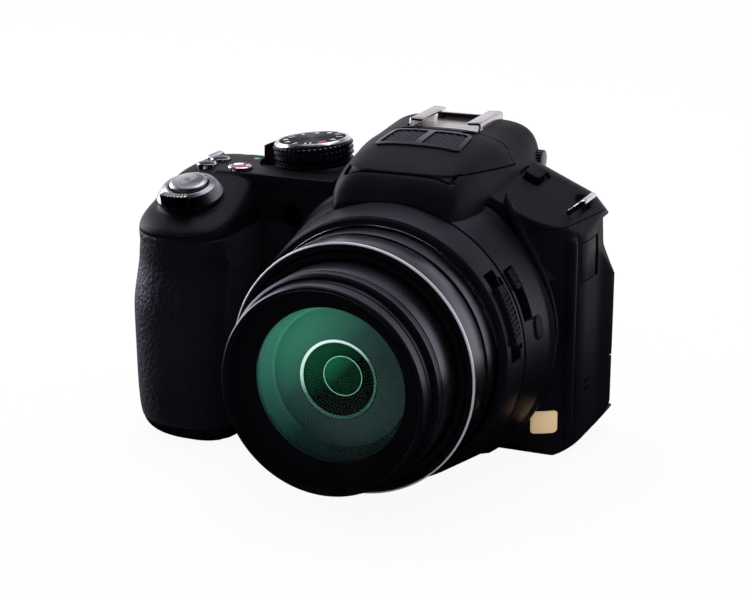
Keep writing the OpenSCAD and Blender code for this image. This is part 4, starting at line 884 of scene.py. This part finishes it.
dress(lathe("barrel_shell", soft([[31.35, 58.78, 0.1], [33.25, 58.78, 0.1], [33.25, 51.1, 0.2],
    [32.7, 50.8, 0.1], [32.7, 49.8, 0.1], [33.35, 49.5, 0.2], [33.35, 15.6, 0], [20, 15.6, 0],
    [20, 13.6, 0], [15, 13.6, 0], [15, 16.8, 0], [31.35, 16.8, 0]], 3), LENS, 192), ROOT, m_barrel,
      "lens_barrel", angle=28)
dress(lathe("trim_band", soft([[31.35, 58.8, 0], [33.05, 58.8, 0], [33.05, 59.9, 0.15], [32.3, 60.0, 0.2],
    [31.55, 59.95, 0.2], [31.35, 59.7, 0.1]], 3), LENS, 192), ROOT, m_gloss, "front_trim_ring", angle=28)
dress(lathe("trim_bead", soft([[32.9, 59.05, 0.2], [33.5, 59.05, 0.2], [33.5, 59.65, 0.28],
    [32.95, 59.98, 0.2]], 5), LENS, 192), ROOT, m_bead, angle=60)
dress(lathe("collar_bead", soft([[33.5, 43.65, 0], [34.15, 43.65, 0.15], [34.15, 44.0, 0.17],
    [33.5, 44.2, 0.1]], 5), LENS, 192), ROOT, m_bright, "rear_trim_ring", angle=60)

dress(lathe("tube_shell", soft([[26.95, 22, 0], [28.78, 22, 0.1], [28.78, 69.3, 0.1], [28.45, 69.45, 0.08],
    [28.45, 69.75, 0.08], [28.78, 69.9, 0.1], [28.78, 70.35, 0.1], [22.4, 70.35, 0], [22.4, 65.4, 0],
    [26.95, 65.4, 0]], 3), LENS, 192), ZOOM, m_barrel, "zoom_tube_front", angle=28)
thread = []
for i in range(8):
    f = 78.25 - i * 0.42
    thread += [[26.0, f], [25.68, f - 0.16], [26.0, f - 0.32]]
dress(lathe("front_ring", np.concatenate([soft([[21.05, 72.45, 0], [21.05, 70.45, 0], [28.8, 70.45, 0.12],
    [28.8, 72.1, 0.3], [28.1, 72.8, 0.15], [27.3, 72.9, 0.1], [27.3, 74.6, 0.06], [27.05, 74.75, 0.05],
    [27.05, 75.05, 0.05], [27.3, 75.2, 0.06], [27.3, 78.3, 0.3], [26.85, 78.9, 0.3], [26.4, 78.9, 0.15],
    [26.05, 78.45, 0.1]], 4), np.array(thread), soft([[25.85, 74.85, 0], [25.4, 74.85, 0.2],
    [20.45, 73.2, 0.15], [20.3, 72.9, 0.1], [20.3, 72.45, 0]], 3)]), LENS, 192), ZOOM, m_ring,
      "filter_ring", angle=24)


dress(lathe("front_dome", [(0, 71.4), (12, 71.2), (20.2, 70.9), (20.75, 71.0)] + bowl(20.75, 71.8, 74.3),
            LENS, 128), ZOOM, m_glass, "front_glass", angle=24)
# The well, the elements and their rims wear painted reflections and painted highlights
dress(lathe("optic_well", [(20.9, 70.4), (20.3, 70.4), (20.2, 70.0), (18.6, 66.2), (18.3, 66.0),
    (17.6, 64.8), (20.9, 64.8)], LENS, 128), ZOOM, m_well, angle=24)
band = [p for p in bowl(18.55, 65.5, 68.6, 30) if p[0] > 10.4]
dress(lathe("second_element", [(18.55, 64.9), *band, (10.4, 67.2), (10.4, 64.9)], LENS, 128), ZOOM,
      m_second, angle=24)
dress(lathe("element_rim", soft([[9.45, 66.7, 0.2], [10.5, 66.7, 0.2], [10.5, 67.7, 0.28],
    [9.45, 67.3, 0.25]], 4), LENS, 128), ZOOM, m_bezel, angle=60)
band = [p for p in bowl(9.5, 66.4, 63.4, 16) if p[0] > 5.3]
dress(lathe("deep_element", [(10.38, 64.9), (10.38, 66.4), *band, (5.2, 64.0), (5.2, 62.4), (10, 62.4)],
            LENS, 96), ZOOM, m_deep, angle=24)
dress(lathe("inner_rim", soft([[4.9, 64.1, 0.1], [5.35, 64.1, 0.1], [5.35, 64.7, 0.2], [4.9, 64.6, 0.15]],
    4), LENS, 96), ZOOM, m_bezel2, angle=60)
dress(lathe("inner_element", [(0, 62.5), (4.95, 62.5)] + bowl(4.95, 64.2, 66.0, 16), LENS, 96), ZOOM,
      m_inner_reflection, angle=24)
dress(lathe("optic_baffle", [(20.9, 64.7), (17.5, 64.7), (11, 49.4), (11, 43.4), (10.2, 43.4), (10.2, 41.9),
    (12.6, 41.9), (12.6, 47.9), (21.4, 65.3), (22.3, 65.3), (22.3, 70.3), (20.95, 70.3)], LENS, 96), ZOOM,
      m_gloss, angle=24)


# Controls

def bar(r0, r1, h0, h1, a0, a1, place, e=0.12, n=5):
    """Arc-shaped bar with softened edges on a local Z axis, angles in degrees."""
    rings = []
    for a, d in [(a0, e)] + [(t, 0) for t in np.linspace(a0 + 0.5, a1 - 0.5, n)] + [(a1, e)]:
        p = soft_box(r0 + d, r1 - d, h0 + d, h1 - d, min(0.25, (r1 - r0) / 4), 3)
        t = math.radians(a)
        rings.append(place(np.column_stack([p[:, 0] * math.cos(t), p[:, 0] * math.sin(t), p[:, 1]])))
    return loft("bar", rings)


dress(lathe("shutter_cap", soft([[0, -6, 0], [2, -6, 0], [2, 1.4, 0], [5.28, 1.4, 0.1], [5.28, 4.9, 0.45],
    [4.3, 5.35, 0.5], [0, 4.7, 0]], 6), SHUTTER, 96), "shutter_button", m_spun, "shutter_button", angle=32)
dress(lathe("lever_ring", soft([[5.62, 0.32, 0], [9.25, 0.32, 0.1], [9.25, 1.3, 0.35], [7.5, 3.7, 0.7],
    [6.2, 4.35, 0.3], [5.62, 4.3, 0.15]], 5), SHUTTER, 128), "zoom_lever", m_lever, "zoom_lever", angle=32)
ribs = []
for i in range(8):
    a = -90 + (i - 3.5) * 6.3
    ribs.append(bar(7.9, 10.15 - 0.05 * abs(i - 3.5), 1.2, 5.75 - 0.06 * abs(i - 3.5), a - 2.35, a + 2.35,
                    SHUTTER, 0.2, 3))
knob = merged("lever_knob", ribs)
dress(knob, "zoom_lever", m_bright, angle=40)
web = bar(7.6, 9.5, 1.1, 5.2, -117, -63, SHUTTER, 0.1, 8)
web.name = "lever_web"
dress(web, "zoom_lever", m_dark, angle=40)

dress(lathe("dial_body", soft([[0, -4, 0], [4, -4, 0], [4, 1.2, 0], [10.5, 1.2, 0.2], [10.85, 1.7, 0.2],
    [10.85, 6.0, 0.2], [10.4, 6.3, 0.1], [9.9, 6.9, 0.1], [0, 6.9, 0]], 3), DIAL, 132), "mode_dial",
      m_gloss, "mode_dial", angle=30)
verts, faces = [], []
TEETH = 46
for z0, z1 in ((1.75, 3.15), (3.2, 4.6), (4.65, 6.0)):
    for i in range(TEETH):
        a = 2 * math.pi * i / TEETH
        w = math.pi / TEETH * 0.94
        k = len(verts)
        for da, z in ((-w, z0), (w, z0), (w, z1), (-w, z1)):
            verts.append((10.7 * math.cos(a + da), 10.7 * math.sin(a + da), z))
        tip, low, high = w * 0.35, 0.65 * z0 + 0.35 * z1, 0.35 * z0 + 0.65 * z1
        for da, z in ((-tip, low), (tip, low), (tip, high), (-tip, high)):
            verts.append((11.42 * math.cos(a + da), 11.42 * math.sin(a + da), z))
        faces += [(k + 3, k + 2, k + 1, k), (k + 4, k + 5, k + 6, k + 7)]
        faces += [(k + j, k + (j + 1) % 4, k + 4 + (j + 1) % 4, k + 4 + j) for j in range(4)]
knurl = make("dial_knurl", DIAL(verts), faces)
dress(knurl, "mode_dial", m_gloss, angle=20)
dress(lathe("dial_rim", soft([[9.5, 6.5, 0], [10.75, 6.05, 0.1], [10.95, 6.25, 0.15], [10.1, 7.08, 0.25],
    [9.5, 7.0, 0.1]], 4), DIAL, 128), "mode_dial", m_bright, angle=40)
dress(lathe("dial_face", [(0, 6.7), (9.55, 6.7), (9.55, 6.95), (9.3, 6.99), (0, 6.99)], DIAL, 96),
      "mode_dial", m_dialtop, angle=40)


def sign(outline, a, r, h=7.0, t=0.05):
    """Raised mark on the dial's face at angle a and radius r, upright towards the rim."""
    c, s = circle(math.radians(a))
    spot = axes((c * r, s * r, 0), (c, s, 0), (-s, c, 0), (0, 0, 1))
    return put(prism("mark", outline, "Z", h, h + t), lambda p: DIAL(spot(p)))


marks = []
for i in range(12):
    a = 15 + 30 * i
    if i == 10:
        continue
    kind = i % 4
    if kind == 0:
        marks += [sign(box2(-0.9, 0.9, -0.28, 0.28), a, 7.7)]
    elif kind == 1:
        marks += [sign(box2(-0.8, 0.8, -0.95, -0.5), a, 7.7), sign(box2(-0.8, 0.8, 0.5, 0.95), a, 7.7)]
    elif kind == 2:
        marks += [sign(soft_box(-0.8, 0.8, -0.8, 0.8, 0.79, 6), a, 7.7)]
    else:
        marks += [sign([(-0.8, -0.9), (0.9, 0), (-0.8, 0.9)], a, 7.7)]
dress(merged("dial_marks", marks), "mode_dial", m_white, angle=40)
dress(merged("dial_red_mark", [sign(soft_box(-0.9, 0.9, -1.2, 1.2, 0.3, 3), 315, 7.7)]), "mode_dial", m_red,
      angle=40)

for name, (x, y, r) in DECK_BUTTONS.items():
    place = upright(x, y, DECK_Z)
    if name == "movie_button":
        dress(lathe("movie_ring", soft([[2.25, -1.7, 0], [r, -1.7, 0], [r, 0.75, 0.3], [2.9, 1.1, 0.25],
            [2.25, 0.7, 0.1]], 4), place, 72), name, m_bright, name)
        dress(lathe("movie_cap", [(0, -1.6), (2.2, -1.6), (2.2, 0.6)] + bowl(2.15, 0.75, 0.95, 6), place,
                    64), name, m_red)
    else:
        dress(lathe(name + "_ring", soft([[2.25, -1.7, 0], [r, -1.7, 0], [r, 0.5, 0.2], [2.6, 0.8, 0.15],
            [2.25, 0.7, 0.1]], 4), place, 64), name, m_bright, name)
        dress(lathe(name + "_cap", [(0, -1.6), (2.2, -1.6), (2.2, 0.75)] + bowl(2.15, 0.85, 1.15, 6), place,
                    48), name, m_gloss)

# Microphone pad, shoe and lug

pad = prism("mic_frame", soft(mic_outline(), 8), "Z", 80, 90)
keep_in(pad, bow_form("cut", HUMP, HUMP_FOOT, 0.45, 96))
cut(pad, block((-30, -30, 0), (30, 5, 81.2)))
PANELS = [soft([[s * 1.0, -14.6, 0.8], [s * 11.2, -14.6, 1.2], [s * 10.4, -3.2, 1.2],
                [s * 0.9, -3.2, 0.8]][::s], 5) for s in (-1, 1)]
for p in PANELS:
    room = prism("cut", p, "Z", 75, 95)
    cut(pad, cut(room, bow_form("cut", HUMP, HUMP_FOOT, -0.35, 96)))
dress(pad, FLASH, m_gloss, "mic_grille", angle=30)
weave = []
for s in (-1, 1):
    grid = {}
    verts, faces = [], []
    xs, ys = np.arange(0.9, 11.4, 0.16), np.arange(-14.8, -3.0, 0.16)
    for i, x in enumerate(xs):
        for j, y in enumerate(ys):
            if -14.55 < y < -3.25 and 0.98 < x < 11.15 - 0.07 * (y + 14.6):
                u, v = (x + y) / 0.36, (x - y) / 0.36
                over = math.sin(u) * (0.6 + 0.4 * math.cos(v))
                under = math.sin(v) * (0.6 - 0.4 * math.cos(u))
                lift = 0.3 * max(over, under, -0.55)
                grid[i, j] = len(verts)
                verts.append((s * x, y, hump_top(x, y) - 0.15 + lift))
    for i, j in grid:
        q = [grid.get(k) for k in ((i, j), (i + 1, j), (i + 1, j + 1), (i, j + 1))]
        if None not in q:
            faces.append(q)
    top_n = len(verts)
    low = [(x, y, min(z, hump_top(x, y) - 0.32) - 0.12) for x, y, z in verts]
    edges = {}
    for f in faces:
        for a, b in zip(f, f[1:] + f[:1]):
            edges[a, b] = True
    side = [(b, a, a + top_n, b + top_n) for a, b in edges if (b, a) not in edges]
    faces = faces + [[k + top_n for k in f[::-1]] for f in faces] + side
    weave.append(make("weave", verts + low, faces))
dress(merged("mic_weave", weave), FLASH, m_soft, angle=60)


def sheet_path(points, t):
    """Closed outline of a bent sheet of thickness t along a path."""
    p = np.asarray(points, float)
    d = np.gradient(p, axis=0)
    n = np.stack([-d[:, 1], d[:, 0]], 1) / np.linalg.norm(d, axis=1)[:, None]
    return np.concatenate([p + n * t / 2, (p - n * t / 2)[::-1]])


half = np.array([(0, 83.5), (5, 83.5), *arc((9.7, 84.2), (9.7, 83.5), (10.4, 84.2), 6),
                 *arc((9.7, 85.6), (10.4, 85.6), (9.6, 86.3), 6), (8.2, 86.25), (6.5, 86.1)])
path = np.concatenate([half[::-1] * (-1, 1), half[1:]])
outline = sheet_path(path, 0.6)
shoe = loft("shoe_channel", [np.insert(outline, 1, y, axis=1) for y in np.linspace(5, 23.6, 6)])
for s in (-1, 1):
    x0, x1 = sorted((s * 5, s * 12))
    r0, r1 = sorted((s * 6.1, s * 10.8))
    corner = prism("cut", soft_box(r0, r1, 5, 30, 1.9, 8), "Z", 80, 90)
    cut(shoe, cut(block((x0, 4, 85), (x1, 7, 88)), corner))
cut(shoe, prism("cut", soft_box(-3, 3, 3, 7.2, 1.2), "Z", 80, 84.5))
shoe_stop = block((-8.5, 22.4, 83.3), (8.5, 23.5, 85.2))
join([shoe, shoe_stop])
soften(shoe, 0.12, 50)
settle(shoe)
dress(shoe, ROOT, m_shoe, "accessory_shoe", angle=35)

BEND = 1.2
STRAIGHT = 2.4
for name, (spot, tilt, half_span) in LUGS.items():
    place = turned((0, tilt, 0), spot)
    run = [(0, -half_span, z) for z in np.linspace(-4, STRAIGHT, 6)]
    bend = [circle(t, BEND) for t in np.linspace(0.2, 1.57, 7)]
    run += [(0, BEND - half_span - c, STRAIGHT + d) for c, d in bend]
    run = run + [(x, -y, z) for x, y, z in run[::-1]]
    dress(tube(name + "_wire", place(run), 0.8, 20), ROOT, m_bright, name, angle=60)

patch = prism("rubber_patch", soft([[-45.5, 6, 1], [-38.2, 6, 2], [-38.2, 50, 3], [-35.6, 57.2, 2.5],
    [-38.5, 58.8, 1.5], [-45.5, 58.2, 0.5]], 6), "Y", -17.55, -16.6)
round_off(patch, 0.3, 3)
dress(patch, ROOT, m_rubber, angle=60)

# Softer edges for the solids that stay

BEVELS = {"base_screws": 0.06, "screen_glass": 0.1, "eyepiece_glass": 0.1, "eyecup": 0.6,
          "screen_housing": 0.5, "focus_lamp": 0.1}
group = bpy.data.node_groups.new("soft_shade", "GeometryNodeTree")
group.interface.new_socket("Geometry", in_out="INPUT", socket_type="NodeSocketGeometry")
group.interface.new_socket("Geometry", in_out="OUTPUT", socket_type="NodeSocketGeometry")
gi, go = group.nodes.new("NodeGroupInput"), group.nodes.new("NodeGroupOutput")
faces_on = group.nodes.new("GeometryNodeSetShadeSmooth")
edges_on = group.nodes.new("GeometryNodeSetShadeSmooth")
edges_on.domain = "EDGE"
angle = group.nodes.new("GeometryNodeInputMeshEdgeAngle")
less = group.nodes.new("FunctionNodeCompare")
less.operation = "LESS_THAN"
less.inputs["B"].default_value = math.radians(32)
group.links.new(gi.outputs[0], faces_on.inputs[0])
group.links.new(faces_on.outputs[0], edges_on.inputs[0])
group.links.new(angle.outputs["Unsigned Angle"], less.inputs["A"])
group.links.new(less.outputs[0], edges_on.inputs["Shade Smooth"])
group.links.new(edges_on.outputs[0], go.inputs[0])
for name, o in NODES.items():
    if o.hide_render:
        continue
    w = o.modifiers.new("weld", "WELD")
    w.merge_threshold = 2e-6
    soften(o, BEVELS.get(name, 0.15), 38)
    o.modifiers.new("shade", "NODES").node_group = group

# Studio

COOL = (0.93, 0.9, 1.0)

bpy.ops.mesh.primitive_grid_add(x_subdivisions=8, y_subdivisions=8, size=6.0)
floor = bpy.context.object
floor.name = "studio_floor"
WHITE = (1, 1, 1, 1)


def mix(nt, fac, first, second):
    return node(nt, "ShaderNodeMixShader", fac, first, second).outputs[0]


def light_floor():
    """White to the camera, plain to lamps; mirrored, it is white behind the part only."""
    m, nt, b = new_mat("studio_floor")
    nt.nodes.remove(b)
    rays = nt.nodes.new("ShaderNodeLightPath").outputs
    clear = rays["Is Transmission Ray"]
    across = node(nt, "ShaderNodeSeparateXYZ", coords(nt)).outputs
    behind = fade(nt, across["Y"], 0.05, 0.22)
    mirrored = node(nt, "ShaderNodeEmission", Color=WHITE, Strength=calc(nt, "MAXIMUM", behind, clear))
    plain = node(nt, "ShaderNodeBsdfDiffuse", Color=(0.9, 0.9, 0.9, 1)).outputs[0]
    sweep = node(nt, "ShaderNodeEmission", Color=WHITE, Strength=1.0).outputs[0]
    seen = mix(nt, calc(nt, "MULTIPLY", rays["Is Camera Ray"], 0.93), plain, sweep)
    indirect = calc(nt, "ADD", rays["Is Glossy Ray"], clear, clamp=True)
    nt.links.new(mix(nt, indirect, seen, mirrored.outputs[0]),
                 nt.nodes["Material Output"].inputs["Surface"])
    return m


def light_world():
    """White to the camera, an even fill, and in reflections a white wall behind that fades upwards."""
    world = bpy.data.worlds.new("studio")
    world.use_nodes = True
    nt = world.node_tree
    rays = nt.nodes.new("ShaderNodeLightPath").outputs
    seen = rays["Is Camera Ray"]
    way = nt.nodes.new("ShaderNodeTexCoord").outputs["Generated"]
    toward = node(nt, "ShaderNodeSeparateXYZ", way).outputs
    back = fade(nt, toward["Y"], -0.1, 0.6)
    high = fade(nt, toward["Z"], 0.2, 0.75, 1.0, 0.12)
    wall = calc(nt, "MULTIPLY", rays["Is Glossy Ray"], calc(nt, "MULTIPLY", high, back))
    fill = calc(nt, "MULTIPLY_ADD", rays["Is Diffuse Ray"], 0.85, wall)
    direct = calc(nt, "ADD", seen, rays["Is Transmission Ray"], clamp=True)
    settings(nt, nt.nodes["Background"], {"Color": ramp(nt, seen, [(0.0, COOL), (1.0, grey(1))]),
        "Strength": calc(nt, "MAXIMUM", fill, direct)})
    return world


floor.data.materials.append(light_floor())
scene.world = light_world()


def lamp(name, place, target, size, power):
    d = bpy.data.lights.new(name, "AREA")
    d.shape = "RECTANGLE"
    d.size, d.size_y = size
    d.energy = power
    d.color = COOL
    o = add(name, d)
    o.location = place
    o.rotation_euler = (Vector(target) - Vector(place)).to_track_quat("-Z", "Y").to_euler()


lamp("left_strip", (-0.8, 0.16, 0.25), (0, -0.02, 0.04), (0.4, 0.8), 5.0)
lamp("top_soft", (-0.05, 0.25, 0.8), (0, 0, 0.05), (0.7, 0.5), 2.4)
lamp("right_soft", (0.8, 0.3, 0.35), (0, 0, 0.05), (0.4, 0.7), 0.15)

cam = bpy.data.cameras.new("photo_view")
cam.lens = 94.876
cam.sensor_width = 36.0
cam.clip_start, cam.clip_end = 0.01, 20.0
camera = add("photo_view", cam)
right = Vector((0.9215, 0.3883, 0.0))
up = Vector((-0.1138, 0.2700, 0.9561))
back = Vector((0.3713, -0.8811, 0.2930))
rot = Matrix((right, up, back)).transposed()
camera.matrix_world = Matrix.Translation(Vector((0.1903, -0.4954, 0.1989))) @ rot.to_4x4()
scene.camera = camera
